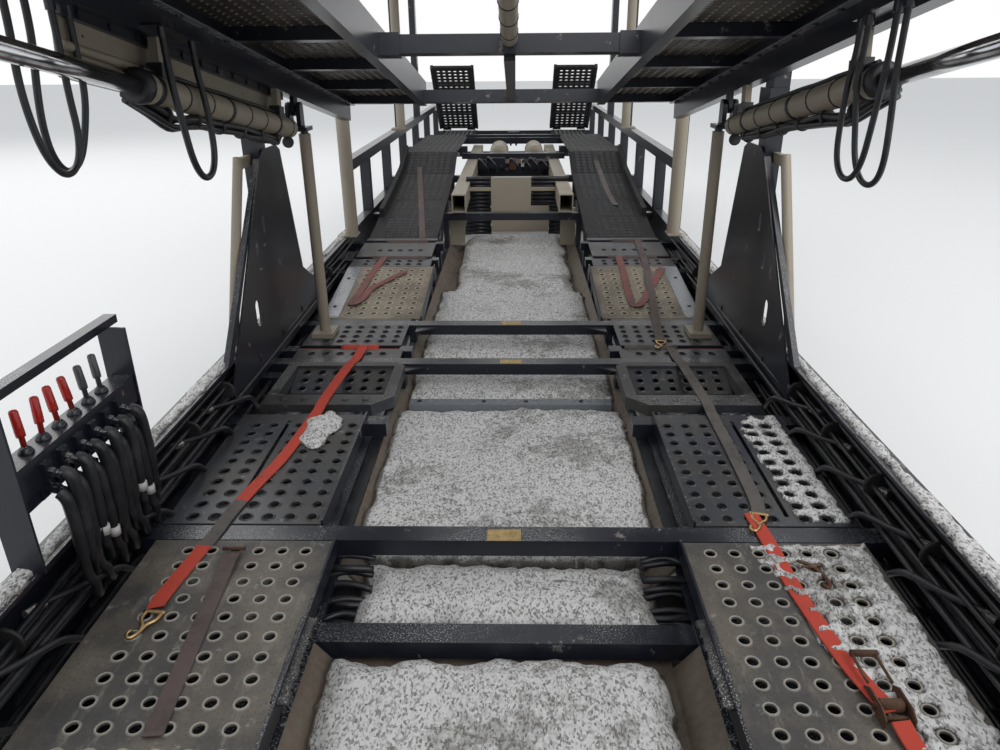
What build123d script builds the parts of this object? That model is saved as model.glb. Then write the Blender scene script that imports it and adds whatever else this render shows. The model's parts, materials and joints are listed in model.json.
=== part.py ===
"""A double-deck car-carrying semi-trailer, parked on its landing legs.

Millimetres. +Y is the rear, +X the trailer's left, z 0 the ground, and the origin the middle of the footprint.
Lengthwise places are stations: metres behind the place, a third of the way along, the deck is seen from.
"""
import os
from math import cos, radians, sin, tan

from build123d import *

os.makedirs("parts", exist_ok=True)

# Overall size: the stations of both ends, in metres, and the width
FRONT_STATION = -3.275
REAR_STATION = 12.875
LENGTH = 1000 * (REAR_STATION - FRONT_STATION)
WIDTH = 2590
HALF = WIDTH / 2
FRONT = -LENGTH / 2
REAR = LENGTH / 2
STATION_ZERO = -500 * (FRONT_STATION + REAR_STATION)
WORKING_GAP = 6

# Lower deck and the side rails of the well
DECK_Z = 585
SHEET = 6
RAIL_TOP = 810
RAIL_BOTTOM = 395
RAIL_FLANGE = 75
RAIL_WEB = 10
RAIL_LIP = 12
BEAM_H = 60
BEAM_W = 80
BEARER_IN = 560
BEARER_OUT = 600
BEARER_H = 60
PAN_HALF = 490
PAN_DROP = 200
ANGLE_RISE = 15
ANGLE_DEPTH = 45
ANGLE_T = 8
LIP_DEPTH = 40

# Lengthwise stations in metres
WELL_FRONT = -0.60
NEAR_END = 2.01
MIDDLE_START = 2.105
MIDDLE_END = 2.94
FLAP_HINGE = 2.985
FLAP_REST = 3.49
FLAP_END = 3.515
SPLASH_END = 5.80
BEARER_END = 6.95
BEARER_POST = 6.50
RAIL_END = 7.64
TRUSS_START = 5.72
TRUSS_END = 12.60
TAIL_HINGE = 12.62
AXLE_STATIONS = (8.15, 9.395)

# Wheels
TYRE_R = 400
TYRE_W = 232
TWIN_PITCH = 268
OUTER_TYRE_X = 1176
RIM_R = 222
HUB_R = 75
AXLE_R = 60
SPINDLE_R = 36
SPINDLE_END = 1010

# Over-axle tracks, the truss beside them and the tail
TRACK_IN = 590
TRACK_OUT = HALF - 155
TRUSS_W = 80
TRUSS_TOP = 1320
TAIL_RAIL_TOP = 790
SUBFRAME_IN = 400
SUBFRAME_OUT = 520
SUBFRAME_BOTTOM = 800
SUBFRAME_TOP = 950
SUBFRAME_WALL = 8

# Posts and lift cylinders
POST_W = 75
POST_D = 120
POST_WALL = 8
POST_TOP = 2950
REAR_POST_TOP = 3180
SLIM_TUBE_R = 30
LIFT_TUBE_R = 46
ROD_R = 20
LIFT_ROD_R = 27
ROD_PLAY = 0.05

# Upper decks: rail depth, slope and where each hangs on its crosshead
UPPER_IN = 567
UPPER_RAIL_W = 50
UPPER_RAIL_H = 150
GIRDER_OUT = HALF - 155
GIRDER_IN = GIRDER_OUT - 60
GIRDER_DROP = 90
UPPER_SHEET_RISE = 60
FRONT_DECK_SLOPE = -9.5
REAR_DECK_SLOPE = 1.5
CROSSHEAD_STATION = 3.98
CROSSHEAD_Z = 1800
REAR_CROSSHEAD_STATION = 8.30
REAR_CROSSHEAD_Z = 2690
PIVOT_ABOVE = 145
PIVOT_PIN_R = 20
PIVOT_BORE_R = PIVOT_PIN_R + ROD_PLAY

# Flaps of the lower deck and their hinge pins
FLAP_IN = 535
FLAP_OUT = HALF - 165
FLAP_RIM = 50
FLAP_BAR_END = 3.12
FLAP_BOTTOM = 545
FLAP_TOP = 600
FLAP_CORNER = 90
FLAP_PIN_R = 8
FLAP_KNUCKLE_R = 15
FLAP_PIN_Z = FLAP_BOTTOM + FLAP_KNUCKLE_R

# Neck
NECK_BOTTOM = 1195
NECK_TOP = 1445
KINGPIN_STATION = -2.85
KINGPIN_R = 25.4
KINGPIN_HEAD_R = 35.7
KINGPIN_LENGTH = 84
LEG_STATION = -1.30


def station(metres):
    """The lengthwise place of a station."""
    return STATION_ZERO + 1000 * metres


def block(x, y, z, mode=Mode.ADD):
    """A box from its low and high side along each axis."""
    with Locations(((x[0] + x[1]) / 2, (y[0] + y[1]) / 2, (z[0] + z[1]) / 2)):
        Box(abs(x[1] - x[0]), abs(y[1] - y[0]), abs(z[1] - z[0]), mode=mode)


def prism(plane, points, amount, mode=Mode.ADD):
    """An outline on a plane, extruded along the plane's normal."""
    with BuildSketch(plane) as face:
        with BuildLine():
            Polyline(*points, close=True)
        make_face()
    extrude(face.sketch, amount=amount, mode=mode)


def side_prism(x, points, mode=Mode.ADD):
    """An outline of (y, z) points, extruded from x[0] to x[1]."""
    prism(Plane.YZ.offset(x[0]), points, x[1] - x[0], mode)


def section(y, points, mode=Mode.ADD):
    """An outline of (x, z) points, extruded from y[0] to y[1]."""
    prism(Plane.XZ.offset(-y[1]), points, y[1] - y[0], mode)


def rod_x(x, y, z, radius, mode=Mode.ADD):
    """A round bar along X."""
    with Locations(Location(((x[0] + x[1]) / 2, y, z), (0, 90, 0))):
        Cylinder(radius, x[1] - x[0], mode=mode)


def rod_y(x, y, z, radius, mode=Mode.ADD):
    """A round bar along Y."""
    with Locations(Location((x, (y[0] + y[1]) / 2, z), (90, 0, 0))):
        Cylinder(radius, y[1] - y[0], mode=mode)


def rod_z(x, y, z, radius, mode=Mode.ADD):
    """A round bar along Z."""
    with Locations((x, y, (z[0] + z[1]) / 2)):
        Cylinder(radius, z[1] - z[0], mode=mode)


def box_tube_y(x, y, z, wall):
    """A rectangular tube along Y, open at both ends."""
    block(x, y, z)
    block((x[0] + wall, x[1] - wall), y, (z[0] + wall, z[1] - wall), Mode.SUBTRACT)


def save(piece, name):
    """Labels a finished piece and writes it."""
    piece.part.label = name
    export_step(piece.part, f"parts/{name}.step")


def interpolate(table, at):
    """Height at a station, from a table of (station, height) rows."""
    for (s0, z0), (s1, z1) in zip(table, table[1:]):
        if at <= s1:
            return z0 + (z1 - z0) * (at - s0) / (s1 - s0)
    return table[-1][1]


RAIL_Y = (station(WELL_FRONT), station(RAIL_END))
PLATE_BOTTOM = DECK_Z - SHEET
BEAM_BOTTOM = PLATE_BOTTOM - BEAM_H
BEARER_BOTTOM = BEAM_BOTTOM - BEARER_H
BEARER_TOP = BEARER_BOTTOM + 20
WEB_IN = HALF - RAIL_WEB
FLANGE_IN = HALF - RAIL_FLANGE

# Height of the lower deck and of the tracks that carry it on over the axles, by station
DECK_LINE = ((-4.0, DECK_Z), (4.28, DECK_Z), (5.06, DECK_Z + 92), (5.85, DECK_Z + 120))
TRACK_PROFILE = ((5.85, 705), (6.36, 774), (6.82, 829), (7.62, 947), (8.09, 1105), (10.34, 1065), (10.9, 920),
                 (12.56, 920))


def deck_strip(start, end, span, rise, thickness):
    """A strip along the deck line from span[0] to span[1] across, its top that much above the line."""
    stations = [start] + [s for s, z in DECK_LINE if start < s < end] + [end]
    top = [(station(s), interpolate(DECK_LINE, s) + rise) for s in stations]
    side_prism(span, top + [(y, z - thickness) for y, z in reversed(top)])


def track_beam_top(at):
    """The top of the beam under the tracks at a station."""
    reach = BEAM_W / 2000
    return min(interpolate(TRACK_PROFILE, at - reach), interpolate(TRACK_PROFILE, at + reach)) - SHEET


# Side rails: deep channels with the open side inward, and the splash sheets under the deck plates
SPLASH_T = 4
with BuildPart() as side_rail:
    rest = (station(FLAP_REST) - BEAM_W / 2, station(FLAP_REST) + BEAM_W / 2)
    for y in ((station(WELL_FRONT), rest[0]), (rest[1], station(SPLASH_END))):
        block((BEARER_OUT, TRACK_OUT), y, (BEAM_BOTTOM - SPLASH_T, BEAM_BOTTOM))
    section(RAIL_Y, [(FLANGE_IN, RAIL_BOTTOM), (HALF, RAIL_BOTTOM), (HALF, RAIL_TOP), (FLANGE_IN, RAIL_TOP),
                     (FLANGE_IN, RAIL_TOP - RAIL_LIP), (WEB_IN, RAIL_TOP - RAIL_LIP),
                     (WEB_IN, RAIL_BOTTOM + RAIL_LIP), (FLANGE_IN, RAIL_BOTTOM + RAIL_LIP)])
    mirror(about=Plane.YZ)
save(side_rail, "side_rails")

# Cross-members under the lower deck: station, how far the top lies below the deck line, and the inner end,
# 0 for a beam across the whole width. The grooves across three of them hold the strap rolls
MEMBER_IN = 535
CROSS_MEMBERS = ((-0.50, SHEET, 0), (0.40, SHEET, 0), (1.715, 113, 0), (2.055, 0, 0), (2.90, SHEET, MEMBER_IN),
                 (FLAP_REST, 46, MEMBER_IN), (3.565, 0, 0), (3.76, SHEET, MEMBER_IN), (4.16, 0, 0),
                 (5.02, SHEET, MEMBER_IN), (5.305, SHEET, MEMBER_IN), (5.75, SHEET, MEMBER_IN))
ROLL_STATIONS = (3.76, 5.305, 5.75)
ROLL_R = 21
GROOVE_HALF = 32
GROOVE_DEPTH = 50
GROOVE_X = (BEARER_OUT + 5, TRACK_OUT + 20)
# Raised angles along the plates' inner edges: first and last station and the plate edge they meet
EDGE_ANGLES = ((WELL_FRONT + 0.02, NEAR_END, 567), (MIDDLE_START, MIDDLE_END, 635), (4.24, 5.09, 547))
ANGLE_SPAN = ANGLE_RISE + ANGLE_DEPTH


def member_top(at, below):
    """The top of the cross-member at a station."""
    reach = BEAM_W / 2000
    return min(interpolate(DECK_LINE, at - reach), interpolate(DECK_LINE, at + reach)) - below


with BuildPart() as cross_members:
    for start, end, edge in EDGE_ANGLES:
        deck_strip(start, end, (edge - ANGLE_T, edge), ANGLE_RISE, ANGLE_SPAN)
    for at, below, inner in CROSS_MEMBERS:
        y = station(at)
        top = member_top(at, below)
        block((inner, WEB_IN), (y - BEAM_W / 2, y + BEAM_W / 2), (top - BEAM_H, top))
        if top - BEAM_H > BEARER_BOTTOM:
            block((BEARER_IN, BEARER_OUT), (y - BEAM_W / 2, y + BEAM_W / 2), (BEARER_BOTTOM, top - BEAM_H))
    for at in ROLL_STATIONS:
        y = station(at)
        top = member_top(at, SHEET)
        block(GROOVE_X, (y - GROOVE_HALF, y + GROOVE_HALF), (top - GROOVE_DEPTH, top), Mode.SUBTRACT)
    bearer = (station(WELL_FRONT), station(BEARER_END))
    block((BEARER_IN, BEARER_OUT), bearer, (BEARER_BOTTOM, BEARER_TOP))
    post = (station(BEARER_POST) - BEAM_W / 2, station(BEARER_POST) + BEAM_W / 2)
    block((BEARER_IN, BEARER_OUT), post, (BEARER_TOP, track_beam_top(BEARER_POST) - BEAM_H))
    flap_y = station(FLAP_HINGE)
    rod_x((675, 1055), flap_y, FLAP_PIN_Z, FLAP_PIN_R)
    for span in ((660, 675), (850, 880), (1055, 1070)):
        block(span, (station(MIDDLE_END), flap_y + FLAP_PIN_R), (FLAP_PIN_Z - 14, FLAP_PIN_Z + 14))
    mirror(about=Plane.YZ)
save(cross_members, "cross_members")

# Strap rolls in the grooves of the cross-members
with BuildPart() as strap_rolls:
    for at in ROLL_STATIONS:
        rod_x(GROOVE_X, station(at), member_top(at, SHEET) - ROLL_R - 2, ROLL_R)
    mirror(about=Plane.YZ)
save(strap_rolls, "strap_rolls")

# Belly pan: a shallow trough between the bearers, open at its sides just ahead of the second bay
PAN_Z = DECK_Z - PAN_DROP
PAN_T = 4
OPEN_SIDES = (1.665, 2.02)
with BuildPart() as belly_pan:
    section((station(WELL_FRONT) + 12, station(BEARER_END)),
            [(-PAN_HALF, PAN_Z - SHEET), (PAN_HALF, PAN_Z - SHEET), (BEARER_IN, BEARER_BOTTOM),
             (BEARER_IN, BEARER_TOP), (PAN_HALF - PAN_T, PAN_Z), (PAN_T - PAN_HALF, PAN_Z),
             (-BEARER_IN, BEARER_TOP), (-BEARER_IN, BEARER_BOTTOM)])
    for x in ((PAN_HALF, BEARER_IN), (-BEARER_IN, -PAN_HALF)):
        y = (station(OPEN_SIDES[0]), station(OPEN_SIDES[1]))
        block(x, y, (PAN_Z - SHEET, BEARER_TOP), Mode.SUBTRACT)
save(belly_pan, "belly_pan")

# Deck plates, one pair a row: name, first and last station, inner and outer edge
MIDDLE_OUT = HALF - 115
SLOT_OUT = TRACK_OUT + 10
ROLL_GAP = GROOVE_HALF / 1000
PLATE_ROWS = (
    ("front_deck_plates", ((WELL_FRONT + 0.02, NEAR_END, 567, HALF - 137),)),
    ("middle_deck_plates", ((MIDDLE_START, MIDDLE_END, 635, MIDDLE_OUT),)),
    ("slot_deck_plates", ((3.60, ROLL_STATIONS[0] - ROLL_GAP, 580, SLOT_OUT),
                          (ROLL_STATIONS[0] + ROLL_GAP, 4.12, 600, SLOT_OUT),
                          (4.20, 4.235, 600, SLOT_OUT),
                          (5.095, ROLL_STATIONS[1] - ROLL_GAP, 575, SLOT_OUT),
                          (ROLL_STATIONS[1] + ROLL_GAP, ROLL_STATIONS[2] - ROLL_GAP, 590, SLOT_OUT),
                          (ROLL_STATIONS[2] + ROLL_GAP, 5.845, 590, SLOT_OUT))),
    ("beige_deck_plates", ((4.24, 5.09, 547, SLOT_OUT),)),
)
for plates_name, plates in PLATE_ROWS:
    with BuildPart() as deck_plates:
        for start, end, inner, outer in plates:
            deck_strip(start, end, (inner, outer), 0, SHEET)
            deck_strip(start, end, (outer - SHEET, outer), -SHEET, LIP_DEPTH - SHEET)
        for at, below, _ in CROSS_MEMBERS:
            y = station(at)
            member_z = (RAIL_BOTTOM, member_top(at, below))
            block((500, HALF), (y - BEAM_W / 2, y + BEAM_W / 2), member_z, Mode.SUBTRACT)
        mirror(about=Plane.YZ)
    save(deck_plates, plates_name)

# Drop flaps of the lower deck, hinged along their front edge: a frame with a dished panel in its rear part
PANEL_FRONT = 3.28
PANEL_DROP = 55
KNUCKLE_SPANS = ((700, 790), (940, 1030))
for side, flap_name in ((1, "deck_flap_left"), (-1, "deck_flap_right")):
    with BuildPart() as flap:
        y0 = station(FLAP_HINGE) + FLAP_KNUCKLE_R + WORKING_GAP
        y1 = station(FLAP_END)
        outline = [(FLAP_IN + FLAP_CORNER, y0), (FLAP_OUT, y0), (FLAP_OUT, y1), (FLAP_IN + FLAP_CORNER / 2, y1),
                   (FLAP_IN, y1 - FLAP_CORNER / 2), (FLAP_IN, y0 + FLAP_CORNER)]
        prism(Plane.XY.offset(FLAP_BOTTOM), outline, FLAP_TOP - FLAP_BOTTOM)
        inner_face = (FLAP_IN + FLAP_RIM, FLAP_OUT - FLAP_RIM)
        block(inner_face, (station(FLAP_BAR_END), y1 - FLAP_RIM), (FLAP_BOTTOM, FLAP_TOP), Mode.SUBTRACT)
        panel = [(station(PANEL_FRONT), DECK_Z - PANEL_DROP), (y1 - FLAP_RIM, DECK_Z),
                 (y1 - FLAP_RIM, DECK_Z - SHEET), (station(PANEL_FRONT), DECK_Z - PANEL_DROP - SHEET)]
        side_prism(inner_face, panel)
        for span in KNUCKLE_SPANS:
            block(span, (station(FLAP_HINGE), y0), (FLAP_BOTTOM, FLAP_PIN_Z))
            rod_x(span, station(FLAP_HINGE), FLAP_PIN_Z, FLAP_KNUCKLE_R)
            rod_x(span, station(FLAP_HINGE), FLAP_PIN_Z, FLAP_PIN_R + ROD_PLAY, Mode.SUBTRACT)
        if side < 0:
            mirror(about=Plane.YZ)
            split(bisect_by=Plane.YZ, keep=Keep.BOTTOM)
    save(flap, flap_name)

# Tracks over the axles and along the tail, bent from sheet with an inner flange and an outer guide
GUIDE_W = 40
GUIDE_RISE = 70
FLANGE_RISE = 35
track_line = [(station(s), z) for s, z in TRACK_PROFILE]
track_under = [(y, z - SHEET) for y, z in reversed(track_line)]
with BuildPart() as axle_tracks:
    side_prism((TRACK_IN, TRACK_OUT), track_line + track_under)
    flange_top = [(y, z + FLANGE_RISE) for y, z in track_line[:6]]
    flange_low = [(y, z - SHEET) for y, z in reversed(track_line[:6])]
    side_prism((TRACK_IN - SHEET, TRACK_IN), flange_top + flange_low)
    guide_rows = track_line[1:5]
    guide_top = [(y, z + GUIDE_RISE) for y, z in guide_rows]
    guide_low = [(y, z) for y, z in reversed(guide_rows)]
    side_prism((TRACK_OUT - GUIDE_W, TRACK_OUT), guide_top + guide_low)
    mirror(about=Plane.YZ)
save(axle_tracks, "axle_tracks")

# Side trusses beside the axles and the tail
TRUSS_IN = HALF - TRUSS_W
TRUSS_BOTTOM = TRUSS_TOP - TRUSS_W
TRUSS_POSTS = ((6.50, RAIL_TOP), (7.60, RAIL_TOP), (8.7725, 860), (9.95, TAIL_RAIL_TOP),
               (11.25, TAIL_RAIL_TOP), (TRUSS_END - TRUSS_W / 2000, TAIL_RAIL_TOP))
with BuildPart() as side_trusses:
    block((TRUSS_IN, HALF), (station(TRUSS_START), station(TRUSS_END)), (TRUSS_BOTTOM, TRUSS_TOP))
    for at, foot in TRUSS_POSTS:
        y = station(at)
        block((TRUSS_IN, HALF), (y - TRUSS_W / 2, y + TRUSS_W / 2), (foot, TRUSS_BOTTOM))
    tail_rail = (station(9.95) - TRUSS_W / 2, station(TRUSS_END))
    block((TRUSS_IN, HALF), tail_rail, (TAIL_RAIL_TOP - TRUSS_W, TAIL_RAIL_TOP))
    mirror(about=Plane.YZ)
save(side_trusses, "side_trusses")

# Beams that carry the tracks, and the bars between the subframe rails.
# A row is a station and the inner end, 0 for a beam across the whole width
TRACK_BEAMS = ((6.50, 0), (7.60, SUBFRAME_OUT), (8.7725, SUBFRAME_OUT), (9.95, 0), (11.25, 0),
               (TRUSS_END - TRUSS_W / 2000, 0))
with BuildPart() as track_beams:
    for at, inner in TRACK_BEAMS:
        y = station(at)
        top = track_beam_top(at)
        block((inner, TRUSS_IN), (y - BEAM_W / 2, y + BEAM_W / 2), (top - BEAM_H, top))
    block((0, SUBFRAME_IN), (station(7.35), station(7.43)), (SUBFRAME_TOP - BEAM_H, SUBFRAME_TOP))
    block((0, TRACK_IN - SHEET), (station(8.74), station(8.82)), (SUBFRAME_TOP, SUBFRAME_TOP + BEAM_H))
    block((0, TRACK_IN - SHEET), (station(9.62), station(9.66)), (1096, 1130))
    mirror(about=Plane.YZ)
save(track_beams, "track_beams")

# Air tanks along the middle
TANK_X = (-170, 250)
TANK_R = 110
TANK_Z = 960
TANK_DOME = 60
TANK_Y = (station(9.00), station(9.60))
CRADLE_Y = (station(9.26), station(9.32))

# Axle subframe: two box rails with open front ends, their posts and hangers, the stepped guard panel
# ahead of the axles with its two arms, and the cradle under the tanks
HANGERS = (7.62, 8.865)
PANEL_Y = station(7.0)
PANEL_T = 5
with BuildPart() as axle_subframe:
    box_tube_y((SUBFRAME_IN, SUBFRAME_OUT), (station(6.40), station(10.20)), (SUBFRAME_BOTTOM, SUBFRAME_TOP),
               SUBFRAME_WALL)
    beam_top = interpolate(TRACK_PROFILE, 6.46) - SHEET
    block((SUBFRAME_IN, SUBFRAME_OUT), (station(6.47), station(6.53)), (beam_top, SUBFRAME_BOTTOM))
    for at in HANGERS:
        side_prism((SUBFRAME_IN + 20, SUBFRAME_OUT - 20),
                   [(station(at) - 110, SUBFRAME_BOTTOM), (station(at) + 110, SUBFRAME_BOTTOM),
                    (station(at) + 45, 430), (station(at) - 45, 430)])
    mirror(about=Plane.YZ)
    prism(Plane.XZ.offset(-PANEL_Y - PANEL_T),
          [(-200, 500), (340, 500), (340, 745), (170, 745), (170, 1000), (-200, 1000)], PANEL_T)
    for x in ((-SUBFRAME_IN, -170), (140, SUBFRAME_IN)):
        block(x, (PANEL_Y + PANEL_T, PANEL_Y + 35), (880, 910))
    block((-SUBFRAME_IN, SUBFRAME_IN), CRADLE_Y, (SUBFRAME_BOTTOM + 10, TANK_Z - TANK_R / 2))
    for x in TANK_X:
        rod_y(x, CRADLE_Y, TANK_Z, TANK_R, Mode.SUBTRACT)
save(axle_subframe, "axle_subframe")

# Axles, trailing arms and air springs
with BuildPart() as suspension:
    for at, hanger in zip(AXLE_STATIONS, HANGERS):
        y = station(at)
        rod_x((0, 700), y, TYRE_R, AXLE_R)
        rod_x((700, SPINDLE_END), y, TYRE_R, SPINDLE_R)
        side_prism((SUBFRAME_IN + 30, SUBFRAME_OUT - 30),
                   [(station(hanger) - 30, 380), (station(hanger) + 30, 429), (y - 60, 380), (y + 190, 396),
                    (y + 460, 396), (y + 460, 330), (y, 300), (station(hanger) - 30, 340)])
    mirror(about=Plane.YZ)
save(suspension, "axles_and_arms")

with BuildPart() as air_springs:
    for at in AXLE_STATIONS:
        y = station(at) + 330
        x = (SUBFRAME_IN + SUBFRAME_OUT) / 2
        rod_z(x, y, (396, 520), 85)
        rod_z(x, y, (520, 780), 125)
        rod_z(x, y, (780, SUBFRAME_BOTTOM), 90)
    mirror(about=Plane.YZ)
save(air_springs, "air_springs")

# The air tanks have domed ends
with BuildPart() as air_tanks:
    for x in TANK_X:
        rod_y(x, TANK_Y, TANK_Z, TANK_R)
    fillet(air_tanks.edges().filter_by(GeomType.CIRCLE), TANK_DOME)
save(air_tanks, "air_tanks")

# Twin wheels: two tyres, two dished rims and the hub with its drum
TYRE_FOOT_R = RIM_R + 8
for axle_index, at in enumerate(AXLE_STATIONS):
    y = station(at)
    for side, side_name in ((1, "left"), (-1, "right")):
        axis = Axis((0, y, TYRE_R), (1, 0, 0))
        with BuildPart() as tyres:
            for middle in (OUTER_TYRE_X, OUTER_TYRE_X - TWIN_PITCH):
                w = TYRE_W / 2
                profile = [(-w * 0.86, TYRE_FOOT_R), (w * 0.86, TYRE_FOOT_R), (w, TYRE_R - 95),
                           (w * 0.94, TYRE_R - 28), (w * 0.76, TYRE_R), (-w * 0.76, TYRE_R),
                           (-w * 0.94, TYRE_R - 28), (-w, TYRE_R - 95)]
                with BuildSketch(Plane(origin=(0, y, TYRE_R), x_dir=(1, 0, 0), z_dir=(0, -1, 0))) as tyre_face:
                    with BuildLine():
                        Polyline(*[(side * (middle + u), v) for u, v in profile], close=True)
                    make_face()
                revolve(tyre_face.sketch, axis=axis)
        save(tyres, f"tyres_axle_{axle_index + 1}_{side_name}")
        with BuildPart() as wheels:
            inner_face = OUTER_TYRE_X - TWIN_PITCH - TYRE_W * 0.43
            gap = OUTER_TYRE_X - TWIN_PITCH / 2
            outer_face = OUTER_TYRE_X + TYRE_W * 0.43
            bore_end = SPINDLE_END + WORKING_GAP
            bore_r = SPINDLE_R + ROD_PLAY
            rim = [(inner_face, RIM_R + 8), (inner_face, RIM_R - 14), (gap - 14, RIM_R - 30),
                   (gap - 14, HUB_R + 70), (gap - 90, HUB_R + 60), (gap - 100, bore_r), (bore_end, bore_r),
                   (bore_end, 0), (gap + 120, 0), (gap + 120, HUB_R), (gap + 14, HUB_R + 15),
                   (gap + 14, RIM_R - 30), (outer_face, RIM_R - 14), (outer_face, RIM_R + 8)]
            with BuildSketch(Plane(origin=(0, y, TYRE_R), x_dir=(1, 0, 0), z_dir=(0, -1, 0))) as rim_face:
                with BuildLine():
                    Polyline(*[(side * u, v) for u, v in rim], close=True)
                make_face()
            revolve(rim_face.sketch, axis=axis)
        save(wheels, f"wheels_axle_{axle_index + 1}_{side_name}")

# Front bulkhead of the well
BULKHEAD_Y = (station(WELL_FRONT) - 60, station(WELL_FRONT))
with BuildPart() as bulkhead:
    block((-HALF, HALF), (BULKHEAD_Y[1] - SHEET, BULKHEAD_Y[1]), (RAIL_BOTTOM, NECK_TOP))
    for x in (HALF - 40, HALF - 395, BEARER_IN, 0):
        for sign in (1, -1):
            rib_y = (BULKHEAD_Y[0], BULKHEAD_Y[1] - SHEET)
            block((sign * x - 40, sign * x + 40), rib_y, (RAIL_BOTTOM, NECK_TOP))
save(bulkhead, "bulkhead")

# Neck: two main beams, outer rails and cross-tubes
NECK_Y = (FRONT, BULKHEAD_Y[0])
NECK_BEAM = (430, 560)
with BuildPart() as neck_frame:
    for sign in (1, -1):
        outer = sorted((sign * NECK_BEAM[0], sign * NECK_BEAM[1]))
        middle = sign * sum(NECK_BEAM) / 2
        block(outer, NECK_Y, (NECK_BOTTOM, NECK_BOTTOM + 16))
        block(outer, NECK_Y, (NECK_TOP - 36, NECK_TOP - 20))
        block((middle - 6, middle + 6), NECK_Y, (NECK_BOTTOM + 16, NECK_TOP - 36))
        rail = sorted((sign * (HALF - 60), sign * HALF))
        block(rail, NECK_Y, (NECK_TOP - 150, NECK_TOP))
        for at in (-3.22, -2.60, -1.95, -1.30, -0.75):
            y = station(at)
            span = sorted((sign * NECK_BEAM[1], sign * (HALF - 60)))
            block(span, (y - 35, y + 35), (NECK_TOP - 90, NECK_TOP - 20))
            web = sorted((sign * (middle * sign + 6), sign * NECK_BEAM[1]))
            block(web, (y - 35, y + 35), (NECK_TOP - 90, NECK_TOP - 36))
    for at in (-3.22, -2.60, -1.95, -1.30, -0.75):
        y = station(at)
        reach = sum(NECK_BEAM) / 2 - 6
        block((-reach, reach), (y - 35, y + 35), (NECK_TOP - 90, NECK_TOP - 36))
save(neck_frame, "neck_frame")

with BuildPart() as neck_deck:
    section((FRONT, BULKHEAD_Y[0]),
            [(567, NECK_TOP - 20), (HALF - 60, NECK_TOP - 20), (HALF - 60, NECK_TOP - 14),
             (573, NECK_TOP - 14), (573, NECK_TOP + 15), (567, NECK_TOP + 15)])
    mirror(about=Plane.YZ)
save(neck_deck, "neck_deck_plates")

# Kingpin on its rubbing plate
with BuildPart() as kingpin:
    y = station(KINGPIN_STATION)
    block((-NECK_BEAM[1], NECK_BEAM[1]), (FRONT + 20, y + 620), (NECK_BOTTOM - 12, NECK_BOTTOM))
    low = NECK_BOTTOM - 12 - KINGPIN_LENGTH
    rod_z(0, y, (NECK_BOTTOM - 12 - 32, NECK_BOTTOM - 12), 36.5)
    rod_z(0, y, (low + 17, NECK_BOTTOM - 12 - 32), KINGPIN_R)
    rod_z(0, y, (low, low + 17), KINGPIN_HEAD_R)
save(kingpin, "kingpin_plate")

# Landing legs, down on the ground
LEG_X = HALF - 335
CRANK_REACH = 210
with BuildPart() as landing_gear:
    y = station(LEG_STATION)
    for sign in (1, -1):
        x = sign * LEG_X
        block((x - 60, x + 60), (y - 60, y + 60), (560, NECK_TOP - 90))
        block((x - 48, x + 48), (y - 48, y + 48), (18, 560))
        block((x - 125, x + 125), (y - 125, y + 125), (0, 18))
        block((x - 40, x + 40), (y + 60, BULKHEAD_Y[0]), (980, 1040))
    rod_x((-LEG_X + 60, LEG_X - 60), y, 1080, 16)
    rod_x((LEG_X + 60, LEG_X + CRANK_REACH), y, 1080, 16)
    rod_z(LEG_X + CRANK_REACH, y, (890, 1090), 16)
save(landing_gear, "landing_gear")

# Posts: channels that stand on the rails, open outward
MAIN_POST = 3.76
FAR_POST = 5.78
FRONT_POSTS = (-3.10, -0.72)
REAR_POSTS = (8.60, 10.20)


def post(at, foot, top):
    """A channel post on each side, open outward."""
    y = station(at)
    for sign in (1, -1):
        x = sorted((sign * (HALF - POST_W), sign * HALF))
        block(x, (y - POST_D / 2, y + POST_D / 2), (foot, top))
        hollow = sorted((sign * (HALF - POST_W + POST_WALL), sign * HALF))
        block(hollow, (y - POST_D / 2 + POST_WALL, y + POST_D / 2 - POST_WALL), (foot, top), Mode.SUBTRACT)


with BuildPart() as deck_posts:
    post(MAIN_POST, RAIL_TOP, POST_TOP)
    for at in FRONT_POSTS:
        post(at, NECK_TOP, POST_TOP)
    for at in REAR_POSTS:
        post(at, TRUSS_TOP, REAR_POST_TOP)
    post(FAR_POST, TRUSS_TOP, POST_TOP)
    y = station(FAR_POST)
    for sign in (1, -1):
        x = sorted((sign * (HALF - POST_W), sign * HALF))
        block(x, (y - POST_D / 2, y + POST_D / 2), (RAIL_TOP, TRUSS_BOTTOM))
save(deck_posts, "deck_posts")

# Plates at the foot of the main posts, flanged along both slanting edges
GUSSET = ((2.95, 605), (4.66, 605), (4.66, 660), (4.20, 920), (4.02, 1600),
          (3.96, 1630), (3.74, 1630), (3.68, 1590), (2.95, 700))
GUSSET_T = 9
GUSSET_FLANGE = 25
GUSSET_HOLES = ((3.38, 911, 62, 130), (3.50, 1130, 34, 80), (3.62, 1290, 34, 90))
with BuildPart() as main_gussets:
    side_prism((FLANGE_IN - GUSSET_T, FLANGE_IN), [(station(s), z) for s, z in GUSSET])
    for at, z, width, height in GUSSET_HOLES:
        with BuildSketch(Plane.YZ.offset(FLANGE_IN - GUSSET_T)) as hole:
            with Locations((station(at), z)):
                SlotOverall(height, width, rotation=90)
        extrude(hole.sketch, amount=GUSSET_T, mode=Mode.SUBTRACT)
    flange_x = (FLANGE_IN, FLANGE_IN + GUSSET_FLANGE)
    side_prism(flange_x, [(station(2.95), RAIL_TOP), (station(3.02), RAIL_TOP), (station(3.69), 1583),
                          (station(3.69), 1592)])
    side_prism(flange_x, [(station(4.20), 920), (station(4.20) - 8, 920), (station(4.02) - 8, 1590),
                          (station(4.02), 1600)])
    mirror(about=Plane.YZ)
save(main_gussets, "main_gussets")

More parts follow.
